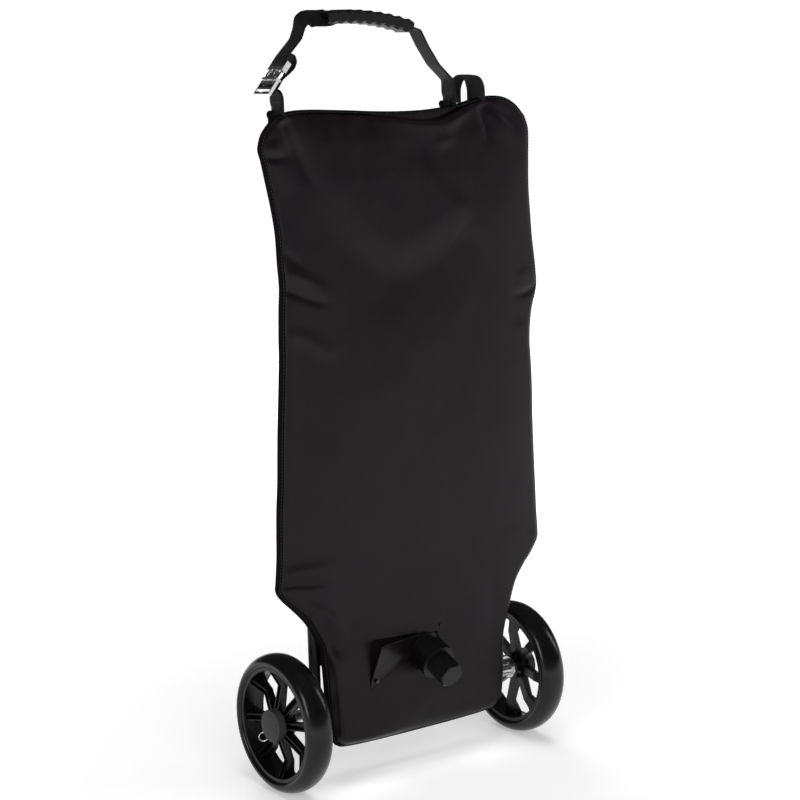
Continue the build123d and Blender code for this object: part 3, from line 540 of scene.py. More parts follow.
def coverGrid(topLine):
    # Every point of the cloth on the seam's plane, blended from the outline's four sides
    columns, rows = coverEdge["columns"], coverEdge["rows"]
    left = smoothLine(coverEdge["left"], rows)
    right = smoothLine(coverEdge["right"], rows)
    top = smoothLine(topLine, columns)
    bottom = smoothLine(coverEdge["bottom"], columns)
    u = np.linspace(0, 1, columns)[None, :, None]
    v = np.linspace(0, 1, rows)[:, None, None]
    sides = (1 - u) * left[:, None] + u * right[:, None]
    ends = (1 - v) * bottom[None] + v * top[None]
    corners = ((1 - u) * (1 - v) * bottom[0] + u * (1 - v) * bottom[-1]
               + (1 - u) * v * top[0] + u * v * top[-1])
    grid = sides + ends - corners
    return grid[..., 0], grid[..., 1]


def outlineLoop(count=900):
    # The seam's outline as one closed run of points
    left = smoothLine(coverEdge["left"], 330)
    top = smoothLine(coverEdge["top"], 170)[1:]
    right = smoothLine(coverEdge["right"], 330)[::-1][1:]
    bottom = smoothLine(coverEdge["bottom"], 90)[::-1][1:]
    return evenly(np.vstack([left, top, right, bottom]), count)


# How far the front stands out from the seam, and the flat place round the spout
frontShape = {
    "heights": (46, 60, 96, 216, 330, 450, 560, 660, 730, 775, 800, 822),
    "depths": (9, 13.5, 18, 18, 18.4, 18, 17.2, 15.6, 13.0, 9.6, 6.6, 4.6),
    "middle": 21.0, "acrossHalf": 214.0, "sideDepth": 5.0, "edgeStart": 1.6, "edgeSlope": 1.9,
    "softness": 2.6, "spoutX": 0.0, "spoutZ": 153.7, "calmRadius": 44.0, "calmOuter": 112, "flatDepth": 18.0,
    "flapLine": ((-88, 108), (-20, 146), (26, 174)), "flapCalm": (50, 96), "thickness": .0012,
    # the top edge stands away from the seam between the shoulders
    "gape": 4.5, "gapeFrom": (-70, 20), "gapeTo": (45, 92), "gapeReach": 16,
    "sag": ((-190, 797), (-177, 808), (-158, 812.5), (-130, 812.6), (-96, 810), (-60, 806), (-30, 802),
            (5, 797.5), (38, 793.5), (62, 795.5), (88, 805), (112, 813.5), (138, 817), (160, 814.5),
            (177, 806), (190.5, 792)),
}

# Folds on the front: lines across and up in millimetres, height (out is positive), width, kind, end fades
frontFolds = (
    # the long valley from the left shoulder, and the soft rise left of it
    {"line": ((-170, 806), (-163, 788), (-155, 768), (-145, 746), (-134, 727), (-119, 706)), "height": -2.8,
     "width": 8, "fade": (.08, .7)},
    {"line": ((-190, 784), (-184, 762), (-176, 738), (-164, 712)),
     "height": 2.6, "width": 12, "fade": (.2, .7)},
    # the hollow between the shoulders leans back; below its lower border the cloth faces forward
    {"line": ((-158, 806), (-140, 760), (-118, 718), (-92, 682), (-58, 648), (-20, 630), (25, 640), (66, 662),
              (95, 684)), "height": -3.6, "width": 26, "fade": (.12, .1), "kind": "lip", "reach": 120},
    # the pull from the right shoulder: the cloth right of it lies deeper
    {"line": ((28, 768), (38, 741), (52, 721), (74, 699), (97, 683), (106, 672)), "height": 1.3, "width": 11,
     "fade": (.35, .3), "kind": "lip", "reach": 60},
    {"line": ((38, 765), (59, 767), (84, 771)), "height": 1.2, "width": 7, "fade": (.4, .5)},
    {"line": ((50, 776), (70, 788), (91, 801), (111, 812)), "height": 1.4, "width": 8, "fade": (.5, .3)},
    {"line": ((118, 814), (122, 799), (127, 779), (127, 748)), "height": -1.4, "width": 6, "fade": (.2, .6)},
    {"line": ((119, 812), (141, 801), (164, 788), (183, 774)), "height": -1.2, "width": 6, "fade": (.2, .5)},
    {"line": ((130, 812), (148, 790), (160, 764), (166, 735)), "height": 1.4, "width": 13, "fade": (.2, .7)},
    # pulls at the sides
    {"line": ((-201, 771), (-196, 765), (-180, 761), (-160, 762)),
     "height": -2.2, "width": 4.0, "fade": (0, .6)},
    {"line": ((-183, 611), (-165, 605), (-140, 594), (-108, 586)),
     "height": -2.2, "width": 4.5, "fade": (0, .7)},
    {"line": ((-182, 630), (-160, 624), (-130, 606), (-110, 580)),
     "height": 2.0, "width": 7, "fade": (0, .7)},
    {"line": ((-186, 658), (-168, 645), (-148, 626)), "height": -1.6, "width": 5, "fade": (0, .7)},
    {"line": ((-183, 559), (-155, 552), (-130, 536), (-96, 528)),
     "height": 1.2, "width": 9, "fade": (.2, .6)},
    {"line": ((205, 579), (190, 575), (170, 572), (146, 573)), "height": -1.8, "width": 4.5, "fade": (0, .7)},
    {"line": ((204, 590), (186, 596), (160, 592)), "height": 1.2, "width": 8, "fade": (0, .6)},
    {"line": ((192, 516), (176, 528), (150, 534)), "height": 1.0, "width": 8, "fade": (0, .6)},
    # the lower left, where the cloth is drawn in over the post
    {"line": ((-202, 258), (-190, 262), (-174, 261), (-150, 258), (-120, 263)), "height": -1.8, "width": 4,
     "fade": (0, .6)},
    {"line": ((-198, 274), (-170, 276), (-136, 276), (-108, 284)),
     "height": 1.4, "width": 8, "fade": (.1, .6)},
    {"line": ((-176, 240), (-158, 230), (-132, 210), (-112, 182), (-103, 168)), "height": 1.8, "width": 8,
     "fade": (.3, .4)},
    {"line": ((-158, 222), (-144, 202), (-134, 182), (-119, 164), (-105, 160)), "height": -3.4, "width": 8,
     "fade": (.3, .4)},
    {"line": ((-154, 152), (-142, 152), (-128, 154)), "height": -1.6, "width": 3.5, "fade": (0, .6)},
    {"line": ((-138, 123), (-122, 122), (-104, 124)), "height": -1.2, "width": 4, "fade": (0, .6)},
    {"line": ((-136, 100), (-110, 92), (-84, 92)), "height": 1.0, "width": 8, "fade": (0, .6)},
    # the lower right, drawn to the corner
    {"line": ((196, 262), (176, 262), (150, 272), (120, 276)), "height": 1.0, "width": 9, "fade": (0, .6)},
    {"line": ((150, 178), (138, 182), (120, 190)), "height": .8, "width": 7, "fade": (0, .6)},
)
crumple = {"broad": 1.6, "broadSize": 105.0, "small": .35, "smallSize": 30.0, "seed": 7.3}


def foldHeights(x, z, folds):
    total = np.zeros(x.shape)
    for fold in folds:
        line = smoothLine(fold["line"], 30)
        far, side, share = awayFrom(x, z, line)
        start, end = fold["fade"]
        weight = smoothStep(share, 0, start) if start else np.ones(x.shape)
        weight = weight * (1 - smoothStep(share, 1 - end, 1)) if end else weight
        if fold.get("kind") == "lip":
            signed = -far * side
            shape = smoothStep(signed, -fold["width"], fold["width"])
            shape = shape * np.exp(-(np.maximum(signed, 0) / fold["reach"]) ** 2)
            shape = shape * np.exp(-(far / fold["reach"]) ** 2)
        else:
            shape = np.exp(-(far / fold["width"]) ** 2)
        total = total + fold["height"] * weight * shape
    return total


def crumpleHeights(x, z, look):
    heights = np.zeros(x.size)
    for i, (a, b) in enumerate(zip(x.ravel(), z.ravel())):
        spot = Vector((a / look["broadSize"], b / (1.5 * look["broadSize"]), look["seed"]))
        tight = Vector((a / look["smallSize"], b / (1.3 * look["smallSize"]), 2 * look["seed"]))
        heights[i] = look["broad"] * noise.noise(spot) + look["small"] * noise.noise(tight)
    return heights.reshape(x.shape)


def frontDepth(x, z, far):
    shape = frontShape
    side = np.interp(z, shape["heights"], shape["depths"])
    across = shape["middle"] - (shape["middle"] - shape["sideDepth"]) * (x / shape["acrossHalf"]) ** 2
    rise = shape["edgeStart"] + shape["edgeSlope"] * far
    depth = softLeast([side, across, rise + .8], shape["softness"]) + .4
    loose = smoothStep(far, 2, 30)
    depth = depth + loose * crumpleHeights(x, z, crumple)
    depth = depth + smoothStep(far, 0, 9) * foldHeights(x, z, frontFolds)
    flapLine = smoothLine(shape["flapLine"], 12)
    nearSpout = np.hypot(x - shape["spoutX"], z - shape["spoutZ"])
    nearFlap = awayFrom(x, z, flapLine)[0]
    calm = 1 - np.minimum(smoothStep(nearSpout, shape["calmRadius"], shape["calmOuter"]),
                          smoothStep(nearFlap, *shape["flapCalm"]))
    flat = softLeast([np.full(x.shape, shape["flatDepth"] + .4), rise + .8], shape["softness"])
    flat = np.minimum(flat, shape["flatDepth"])
    depth = depth * (1 - calm) + flat * calm
    return np.maximum(depth, .9)


def coverFront():
    sag = frontShape["sag"]
    x, z = coverGrid(sag)
    outline = outlineLoop(700)
    sideFar = awayFrom(x, z, outline)[0]
    topFar = awayFrom(x, z, smoothLine(sag, 90))[0]
    far = np.minimum(sideFar, topFar)
    depth = frontDepth(x, z, far)
    between = smoothStep(x, *frontShape["gapeFrom"]) * (1 - smoothStep(x, *frontShape["gapeTo"]))
    gape = between * np.exp(-topFar / frontShape["gapeReach"])
    depth = depth + frontShape["gape"] * gape
    y = bagStand["seamY"] - depth
    points = inRow(np.stack([x, y, z], -1))
    rows, columns = x.shape
    along = np.stack([x, z], -1) / 1000
    cloth = meshPiece("coverFrontCloth", points, gridFaces(rows, columns), finishes["coatedCloth"], along,
                      closed=False)
    return thicken(cloth, frontShape["thickness"])


cover = coverFront()
print("front cloth:", len(cover.data.polygons), "faces")


# The spout's axis and the loose flap beside it, upright
spoutAxis = {"z": 153.7, "drop": 24.4, "holeRadius": 25.0, "cut": (-7, 26)}
spoutFlap = {
    "low": (-82.0, 114.5), "high": (22.0, 171.0), "corner": (33.3, 48.8), "notchEnd": (92.8, 14.7),
    "notchMiddle": (90.8, -4.7), "notchRadius": 20.3, "lift": 20.0, "bendWidth": 9.0, "thickness": 1.1,
    "gap": 0.9, "tuck": 3.0, "curl": 1.6, "curlRun": (18, 48), "curlWave": 17.0, "sink": .62,
    "cut": (-6.0, 30.0), "samples": 110, "steps": 34,
}


def flapPlace(along, out, height):
    # Upright place of a point of the flap, from how far it is along the fold, out from it and off the cloth
    low, high = np.array(spoutFlap["low"]), np.array(spoutFlap["high"])
    t = (high - low) / np.linalg.norm(high - low)
    n = np.array((-t[1], t[0]))
    x = low[0] + along * t[0] + out * n[0]
    z = low[1] + along * t[1] + out * n[1]
    y = np.broadcast_to(bagStand["seamY"] - frontShape["flatDepth"] - height, x.shape)
    return np.stack([x, y, z], -1)


def prism(name, low, high):
    # A closed prism between two matching loops
    count = len(low)
    faces = [[(i + 1) % count, i, i + count, (i + 1) % count + count] for i in range(count)]
    faces += [list(range(count)), list(range(count, 2 * count))[::-1]]
    return meshPiece(name, np.vstack([low, high]), faces, finishes["coatedCloth"], smooth=False)


def flapOutline(grow=0.0):
    # The flap's edge from the fold's low end round its free corner to the notch
    corner, end = np.array(spoutFlap["corner"]), np.array(spoutFlap["notchEnd"])
    middle, radius = np.array(spoutFlap["notchMiddle"]), spoutFlap["notchRadius"]
    first = math.atan2(*(end - middle)[::-1])
    last = math.pi - math.asin(-middle[1] / radius)
    arc = [middle + radius * np.array((math.cos(a), math.sin(a))) for a in np.linspace(first, last, 16)]
    steps = [np.linspace((0, 0), corner, 30), np.linspace(corner, end, 36)[1:], np.array(arc)[1:]]
    line = np.vstack(steps)
    if grow:
        centre = np.array((44.0, 16.0))
        away = line - centre
        line = line + grow * away / np.linalg.norm(away, axis=1)[:, None]
    return line


def cutCover(cloth):
    # The flap's opening and the round hole that the spout comes through, cut from the finished cloth
    loop = flapOutline(spoutFlap["gap"])
    along, out = loop[:, 0], np.maximum(loop[:, 1], 0.0)
    triangle = prism("flapCutter", *(inRow(flapPlace(along, out, height)) for height in spoutFlap["cut"]))
    drop = math.radians(spoutAxis["drop"])
    turn = np.linspace(0, 2 * math.pi, 64, endpoint=False)
    side = spoutAxis["holeRadius"]
    ring = np.stack([side * np.cos(turn), -side * np.sin(turn) * math.sin(drop),
                     side * np.sin(turn) * math.cos(drop)], -1)
    base = np.array((0, bagStand["seamY"] - frontShape["flatDepth"], spoutAxis["z"]))
    axis = np.array((0, -math.cos(drop), -math.sin(drop)))
    barrel = prism("spoutCutter", *(inRow(ring + base + far * axis) for far in spoutAxis["cut"]))
    for cutter in (triangle, barrel):
        hole = cloth.modifiers.new("hole", "BOOLEAN")
        hole.operation, hole.solver, hole.object = "DIFFERENCE", "EXACT", cutter
        settle(cloth)
        bpy.data.objects.remove(cutter)
    return cloth


shadeSmooth(cutCover(cover))
carry(cover, "tank", "cover_fabric", "front_panel")
print("front cloth cut:", len(cover.data.polygons), "faces")

backShape = {"lowDepth": 1.4, "middleDepth": 5.0, "thickness": .0012, "swellFrom": (222, 300),
             "swellTo": (690, 755), "edgeRun": (4, 60), "looseRun": (4, 40)}
backCrumple = {"broad": 1.6, "broadSize": 120.0, "small": .4, "smallSize": 30.0, "seed": 3.1}


def backDepth(x, z, far):
    shape = backShape
    swell = smoothStep(z, *shape["swellFrom"]) * (1 - smoothStep(z, *shape["swellTo"]))
    rise = swell * (shape["middleDepth"] - shape["lowDepth"]) * smoothStep(far, *shape["edgeRun"])
    depth = shape["lowDepth"] + rise
    loose = swell * smoothStep(far, *shape["looseRun"])
    return depth + loose * crumpleHeights(x, z, backCrumple)


def coverBack():
    x, z = coverGrid(coverEdge["top"])
    far = awayFrom(x, z, outlineLoop(500))[0]
    y = bagStand["seamY"] + backDepth(x, z, far)
    points = inRow(np.stack([x, y, z], -1))
    cloth = meshPiece("coverBackCloth", points, gridFaces(*x.shape, turn=True), finishes["coatedCloth"],
                      np.stack([x, z], -1) / 1000, closed=False)
    thicken(cloth, backShape["thickness"])
    return carry(cloth, "tank", "cover_fabric", "back_panel")


coverBackCloth = coverBack()
print("back cloth:", len(coverBackCloth.data.polygons), "faces")

tapeFold = {"reach": 2.8, "wall": .7, "proud": .8, "samples": 1100, "length": 2.62, "inner": .1,
            "outer": .12, "freeFrom": (-62, -30), "freeTo": (60, 86), "freeAbove": 780,
            "freeRise": (1.7, .12)}


def insetLoop(loop, reach):
    # The outline's points moved inwards, with the direction smoothed so that it doesn't cross itself
    run = np.roll(loop, -3, axis=0) - np.roll(loop, 3, axis=0)
    inward = np.stack([run[:, 1], -run[:, 0]], -1)
    for _ in range(14):
        inward = (np.roll(inward, 1, axis=0) + inward + np.roll(inward, -1, axis=0)) / 3
    return loop + reach * unit(inward)


def tapeFace(loop, inset, lift, front):
    # Points of the tape's front or back flange, upright, at one distance in from the seam
    free = smoothStep(loop[:, 0], *tapeFold["freeFrom"]) * (1 - smoothStep(loop[:, 0], *tapeFold["freeTo"]))
    free = free * (loop[:, 1] > tapeFold["freeAbove"])
    start, slope = tapeFold["freeRise"]
    p = insetLoop(loop, inset)
    far = np.full(len(loop), max(inset, .2))
    if front:
        depth = frontDepth(p[:, 0], p[:, 1], far) * (1 - free) + (start + slope * inset) * free
    else:
        depth = backDepth(p[:, 0], p[:, 1], far)
    y = bagStand["seamY"] + (-1 if front else 1) * (depth + lift)
    return np.stack([p[:, 0], y, p[:, 1]], -1)


def edgeTapePiece():
    # Tape folded over the seam all the way round: front flange, rounded fold and back flange
    loop = outlineLoop(tapeFold["samples"] + 1)[:-1]
    count = len(loop)
    along = np.linspace(0, tapeFold["length"], count + 1)[:-1]
    reach, inner, outer = tapeFold["reach"], tapeFold["inner"], tapeFold["wall"] + tapeFold["outer"]
    insets = [reach, .8 * reach, .6 * reach, .4 * reach, .2 * reach, .2]
    outside = [tapeFace(loop, i, outer, True) for i in insets]
    tip = insetLoop(loop, -tapeFold["proud"])
    tipFar = insetLoop(loop, -.35 * tapeFold["proud"])
    for p, out in ((tipFar, -1.6), (tip, -.6), (tip, .5), (tipFar, 1.3)):
        outside.append(np.stack([p[:, 0], np.full(count, bagStand["seamY"] + out), p[:, 1]], -1))
    outside += [tapeFace(loop, i, outer, False) for i in insets[::-1]]
    inside = [tapeFace(loop, i, inner, False) for i in insets]
    inside += [tapeFace(loop, i, inner, True) for i in insets[::-1]]
    rings = np.stack(outside + inside, 1)
    across = rings.shape[1]
    index = np.arange(count * across).reshape(count, across)
    faces = []
    for j in range(across):
        a, b = index[:, j], index[:, (j + 1) % across]
        faces += np.stack([a, b, np.roll(b, -1), np.roll(a, -1)], -1).tolist()
    widths = np.concatenate([np.linspace(0, 2 * reach, len(outside)), np.linspace(2 * reach, 0, len(inside))])
    widths = widths / 1000
    flat = np.stack(np.broadcast_arrays(along[:, None], widths[None]), -1)
    tape = meshPiece("edgeTape", inRow(rings), faces, finishes["edgeTape"], flat)
    return carry(tape, "tank", "binding", "edge_binding")


edgeTape = edgeTapePiece()
print("edge tape:", len(edgeTape.data.polygons), "faces")

filmShape = {"inset": 2.2, "lowest": 0.7, "rows": 120, "columns": 80, "topRun": (690, 765), "topDepth": 2.0,
             "backInset": 2.4, "backLowest": -.4, "seamOffset": -.2}


def filmBagPiece():
    # The film tank inside the cover, seen through the slit and past the flap
    x, z = coverGrid(coverEdge["top"])
    rows = np.linspace(3, x.shape[0] * .94, filmShape["rows"]).astype(int)
    columns = np.linspace(3, x.shape[1] - 4, filmShape["columns"]).astype(int)
    x, z = x[np.ix_(rows, columns)], z[np.ix_(rows, columns)]
    far = awayFrom(x, z, outlineLoop(400))[0]
    edge = np.ones(x.shape)
    edge[1:-1, 1:-1] = 0
    front = np.maximum(frontDepth(x, z, far) - filmShape["inset"], filmShape["lowest"])
    nearTop = smoothStep(z, *filmShape["topRun"])
    front = front * (1 - nearTop) + np.minimum(front, filmShape["topDepth"]) * nearTop
    back = np.maximum(backDepth(x, z, far) - filmShape["backInset"], filmShape["backLowest"])
    back = back * (1 - edge) + edge * filmShape["seamOffset"]
    seam = bagStand["seamY"]
    frontPoints = inRow(np.stack([x, seam - front, z], -1)).reshape(-1, 3)
    backPoints = inRow(np.stack([x, seam + back, z], -1)).reshape(-1, 3)
    height, width = x.shape
    faces = gridFaces(height, width)
    offset = height * width
    faces += [[i + offset for i in f[::-1]] for f in gridFaces(height, width)]
    index = np.arange(offset).reshape(height, width)
    rim = np.concatenate([index[0, :], index[1:, -1], index[-1, :-1][::-1], index[1:-1, 0][::-1]])
    ahead = np.roll(rim, -1)
    faces += np.stack([ahead, rim, rim + offset, ahead + offset], -1).tolist()
    bag = meshPiece("filmBag", np.vstack([frontPoints, backPoints]), faces, finishes["tankFilm"])
    return carry(bag, "tank", "tank_film", "film_tank")


filmBag = filmBagPiece()
print("film bag:", len(filmBag.data.polygons), "faces")


def flapPiece():
    line = flapOutline()
    samples, depthSteps = spoutFlap["samples"], spoutFlap["steps"]
    edge = smoothLine(line, samples)
    lastAlong = edge[-1, 0]
    fold = np.stack([np.linspace(0, lastAlong, samples), np.full(samples, -spoutFlap["tuck"])], -1)
    t = np.linspace(0, 1, depthSteps)[:, None, None]
    flat = fold[None] * (1 - t) + edge[None] * t
    along, out = flat[..., 0], flat[..., 1]
    lift = math.radians(spoutFlap["lift"])
    bend = spoutFlap["bendWidth"]
    # the bend grows to its full angle across the first few millimetres
    angle = lift * smoothStep(out, -1, bend)
    steps = np.linspace(0, 60, 601)
    angles = lift * smoothStep(steps, -1, bend)
    spent = np.concatenate([[0], np.cumsum(np.cos(angles[:-1]) * .1)])
    risen = np.concatenate([[0], np.cumsum(np.sin(angles[:-1]) * .1)])
    reach = np.where(out > 0, np.interp(out, steps, spent), out)
    height = np.where(out > 0, np.interp(out, steps, risen), 0)
    wave = np.sin(along / spoutFlap["curlWave"])
    height = height + spoutFlap["curl"] * smoothStep(out, *spoutFlap["curlRun"]) * wave
    height = height - spoutFlap["sink"]
    points = inRow(flapPlace(along, reach, height))
    flap = meshPiece("spoutFlapCloth", points, gridFaces(*along.shape), finishes["coatedCloth"], flat / 1000,
                     closed=False)
    work = bmesh.new()
    work.from_mesh(flap.data)
    bmesh.ops.remove_doubles(work, verts=work.verts, dist=1e-5)
    bmesh.ops.dissolve_degenerate(work, edges=work.edges, dist=1e-6)
    work.to_mesh(flap.data)
    work.free()
    thicken(flap, spoutFlap["thickness"] / 1000, 0)
    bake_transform(flap)
    return carry(flap, None, "cover_fabric", "spout_flap")


spoutFlapCloth = flapPiece()
print("flap:", len(spoutFlapCloth.data.polygons), "faces")

# Webbing: every strip follows its route in millimetres, upright, with its width across the route
webbing = {"width": 25.0, "thickness": 1.6, "y": -24.7, "columns": 9, "footRise": 826.5, "footDrop": 12.5,
           "cornerRadius": 12.5, "edgeRound": .35, "edgeOut": 1.012}


def webbingStrip(name, route, widths, acrossDirs, material):
    # route: (n, 3) points; widths: (n,); acrossDirs: (n, 3) unit directions of the width
    route, acrossDirs, widths = np.asarray(route), np.asarray(acrossDirs), np.asarray(widths)
    run = unit(np.gradient(route, axis=0))
    across = unit(acrossDirs - (acrossDirs * run).sum(1)[:, None] * run)
    out = np.cross(run, across)
    half = webbing["thickness"] / 2
    columns = webbing["columns"]
    spots = np.linspace(-1, 1, columns)
    profile = [(s, half * (1 - webbing["edgeRound"] * abs(s) ** 8)) for s in spots]
    edge = webbing["edgeOut"]
    ring = profile + [(edge, 0)] + [(s, -h) for s, h in profile[::-1]] + [(-edge, 0)]
    points = []
    for s, h in ring:
        points.append(route + (s * widths / 2)[:, None] * across + h * out)
    points = np.stack(points, 1)
    count, size = points.shape[:2]
    index = np.arange(count * size).reshape(count, size)
    faces = []
    for j in range(size):
        a, b = index[:, j], index[:, (j + 1) % size]
        faces += np.stack([a[:-1], b[:-1], b[1:], a[1:]], -1).tolist()
    faces += [index[0].tolist(), index[-1].tolist()[::-1]]
    length = lengths(route)
    shares = np.array([s for s, _ in ring])
    offset = (shares[None] * widths[:, None] / 2 + webbing["width"] / 2) / 1000
    flat = np.stack(np.broadcast_arrays(length[:, None] / 1000, offset), -1)
    return meshPiece(name, inRow(points), faces, finishes[material], flat)


def routeThrough(points, step=1.2, soften=3.0):
    # A route through corner points that rounds its corners a little, in the handle's plane
    p = np.asarray(points, float)
    fine = evenly(p, int(lengths(p)[-1] / step) + 2)
    rounds = int((soften / step) ** 2)
    for _ in range(rounds):
        fine[1:-1] = (fine[:-2] + 2 * fine[1:-1] + fine[2:]) / 4
    return fine


def upY(points, y):
    return np.stack([points[:, 0], np.full(len(points), y), points[:, 1]], -1)


def level(route):
    # The direction of a strip's width where it lies front to back
    return np.tile((0.0, 1.0, 0.0), (len(route), 1))


def roundEnd(route, radius, width):
    # Widths along a route whose end is rounded
    left = lengths(route[::-1])[::-1]
    inside = np.clip(radius - left, 0, radius)
    return width - 2 * (radius - np.sqrt(np.clip(radius ** 2 - inside ** 2, .01, None)))


buckleSeat = {"low": (-185.0, 842.5), "slope": 50.3}


def atBuckle(along, out):
    slope = math.radians(buckleSeat["slope"])
    return (buckleSeat["low"][0] + along * math.cos(slope) - out * math.sin(slope),
            buckleSeat["low"][1] + along * math.sin(slope) + out * math.cos(slope))


def arcThrough(first, middle, last, count):
    ax, az = first
    bx, bz = middle
    cx, cz = last
    d = 2 * (ax * (bz - cz) + bx * (cz - az) + cx * (az - bz))
    a2, b2, c2 = ax ** 2 + az ** 2, bx ** 2 + bz ** 2, cx ** 2 + cz ** 2
    ox = (a2 * (bz - cz) + b2 * (cz - az) + c2 * (az - bz)) / d
    oz = (a2 * (cx - bx) + b2 * (ax - cx) + c2 * (bx - ax)) / d
    start, end = math.atan2(az - oz, ax - ox), math.atan2(cz - oz, cx - ox)
    radius = math.hypot(ax - ox, az - oz)
    return [(ox + radius * math.cos(a), oz + radius * math.sin(a)) for a in np.linspace(start, end, count)]


handleRoute = {
    "rise": ((-143.5, 894.5), (-137.3, 908.9), (-132.6, 915.5), (-121.6, 917.4)),
    "fall": ((39.0, 880.5), (54.5, 858.5)),
    "gripLeft": (-106.0, 917.0), "gripMiddle": (-45.0, 916.3), "gripRight": (16.5, 903.5),
    "rightFoot": 76.0, "leftFoot": -173.5, "twist": 48.0,
    # the folded return, along the buckle and out from it
    "tail": ((-7, -5.4), (4, -6.4), (14, -5.6), (24, -8.6), (34, -11.0), (42, -9.0), (46, -3.0), (45, 1.2)),
}


def handlePieces():
    foot = webbing["footRise"]
    grip = arcThrough(handleRoute["gripLeft"], handleRoute["gripMiddle"], handleRoute["gripRight"], 60)
    lean = np.array(grip[-1]) - np.array(grip[-2])
    lean = lean / np.linalg.norm(lean)
    bend = np.array(grip[-1]) + 12 * lean
    tip = foot - webbing["footDrop"]
    corners = [atBuckle(29, -1.5), atBuckle(29, 4.3), atBuckle(38, 4.3), *handleRoute["rise"], *grip,
               tuple(bend), *handleRoute["fall"], (handleRoute["rightFoot"], foot + webbing["footDrop"]),
               (handleRoute["rightFoot"], tip)]
    route = routeThrough(corners, 1.0, 2.2)
    full = upY(route, webbing["y"])
    twisted = smoothStep(route[:, 0], -139, -127) * (1 - smoothStep(route[:, 0], -100, -80))
    turn = np.radians(handleRoute["twist"]) * twisted
    run = unit(np.gradient(full, axis=0))
    across = level(full)
    side = np.cross(run, across)
    across = across * np.cos(turn)[:, None] + side * np.sin(turn)[:, None]
    widths = roundEnd(full, webbing["cornerRadius"], webbing["width"])
    strap = webbingStrip("handleWebbing", full, widths, across, "strapWebbing")
    carry(strap, "handle", "webbing", "handle_strap")

    low = routeThrough([atBuckle(-.6, 1.2), atBuckle(-.6, -3.2), (handleRoute["leftFoot"], foot + 6),
                        (handleRoute["leftFoot"], tip)], .6, 1.2)
    low = upY(low, webbing["y"])
    lower = webbingStrip("buckleWebbing", low, roundEnd(low, webbing["cornerRadius"], webbing["width"]),
                         level(low), "strapWebbing")
    carry(lower, "handle", "webbing", "lower_strap")

    end = routeThrough([atBuckle(*p) for p in handleRoute["tail"]], 1.0, 2.0)
    end = upY(end, webbing["y"])
    tail = webbingStrip("webbingTail", end, np.full(len(end), webbing["width"]), level(end), "strapWebbing")
    carry(tail, "handle", "webbing", "strap_tail")


handlePieces()

tabPlaces = {"left": -171.7, "right": 77.8, "lowest": 764.0, "flatY": -22.7, "twistLow": 805.5,
             "twistHigh": 813.5}
loopPlace = {"left": 86.0, "right": 119.0, "top": 844.0, "foot": 811.5, "width": 23.0, "turn": 32.0}


def tabPiece(name, x, node):
    # A tab sewn flat on the back: it turns a quarter at the cover's edge and ends beside the handle's foot
    z = np.linspace(tabPlaces["lowest"], webbing["footRise"] + webbing["footDrop"], 160)
    turned = smoothStep(z, tabPlaces["twistLow"], tabPlaces["twistHigh"])
    y = tabPlaces["flatY"] + (webbing["y"] - tabPlaces["flatY"]) * turned
    route = np.stack([np.full(len(z), x), y, z], -1)
    angle = turned * math.pi / 2
    across = np.stack([np.cos(angle), -np.sin(angle), np.zeros(len(z))], -1)
    widths = roundEnd(route, webbing["cornerRadius"], webbing["width"])
    tab = webbingStrip(name, route, widths, across, "strapWebbing")
    return carry(tab, "tank", "webbing", node)


for side in ("left", "right"):
    tabPiece("tab" + side.title(), tabPlaces[side], "strap_tab_" + side)


def hangLoopPiece():
    middle = (loopPlace["left"] + loopPlace["right"]) / 2
    half = (loopPlace["right"] - loopPlace["left"]) / 2
    spring = loopPlace["foot"] + 12
    arch = [(middle - half * math.cos(a), spring + (loopPlace["top"] - spring) * math.sin(a))
            for a in np.linspace(0, math.pi, 24)]
    feet = ((loopPlace["left"], loopPlace["foot"]), (loopPlace["right"], loopPlace["foot"]))
    route = routeThrough([feet[0], *arch, feet[1]], .8, 1.5)
    full = upY(route, webbing["y"])
    turn = np.radians(loopPlace["turn"]) * smoothStep(full[:, 0], middle, loopPlace["right"])
    across = np.stack([-np.sin(turn), np.cos(turn), np.zeros(len(turn))], -1)
    loop = webbingStrip("hangLoop", full, np.full(len(full), loopPlace["width"]), across, "strapWebbing")
    return carry(loop, "tank", "webbing", "hang_loop")


hangLoopPiece()
print("straps made")

# Sewing: each stitch is a small bead of thread laid along a line
sewing = {"length": .0029, "gap": .0011, "radius": .00034, "seed": 5, "inset": 1.7, "lift": 1.02,
          "stand": .95, "box": (769.0, 800.0), "boxHalf": 9.5, "barStart": 9.0, "barWidth": 18.0,
          "footBars": (824.0, 829.0), "foldBars": (47.0, 51.0), "foldOut": 5.3}


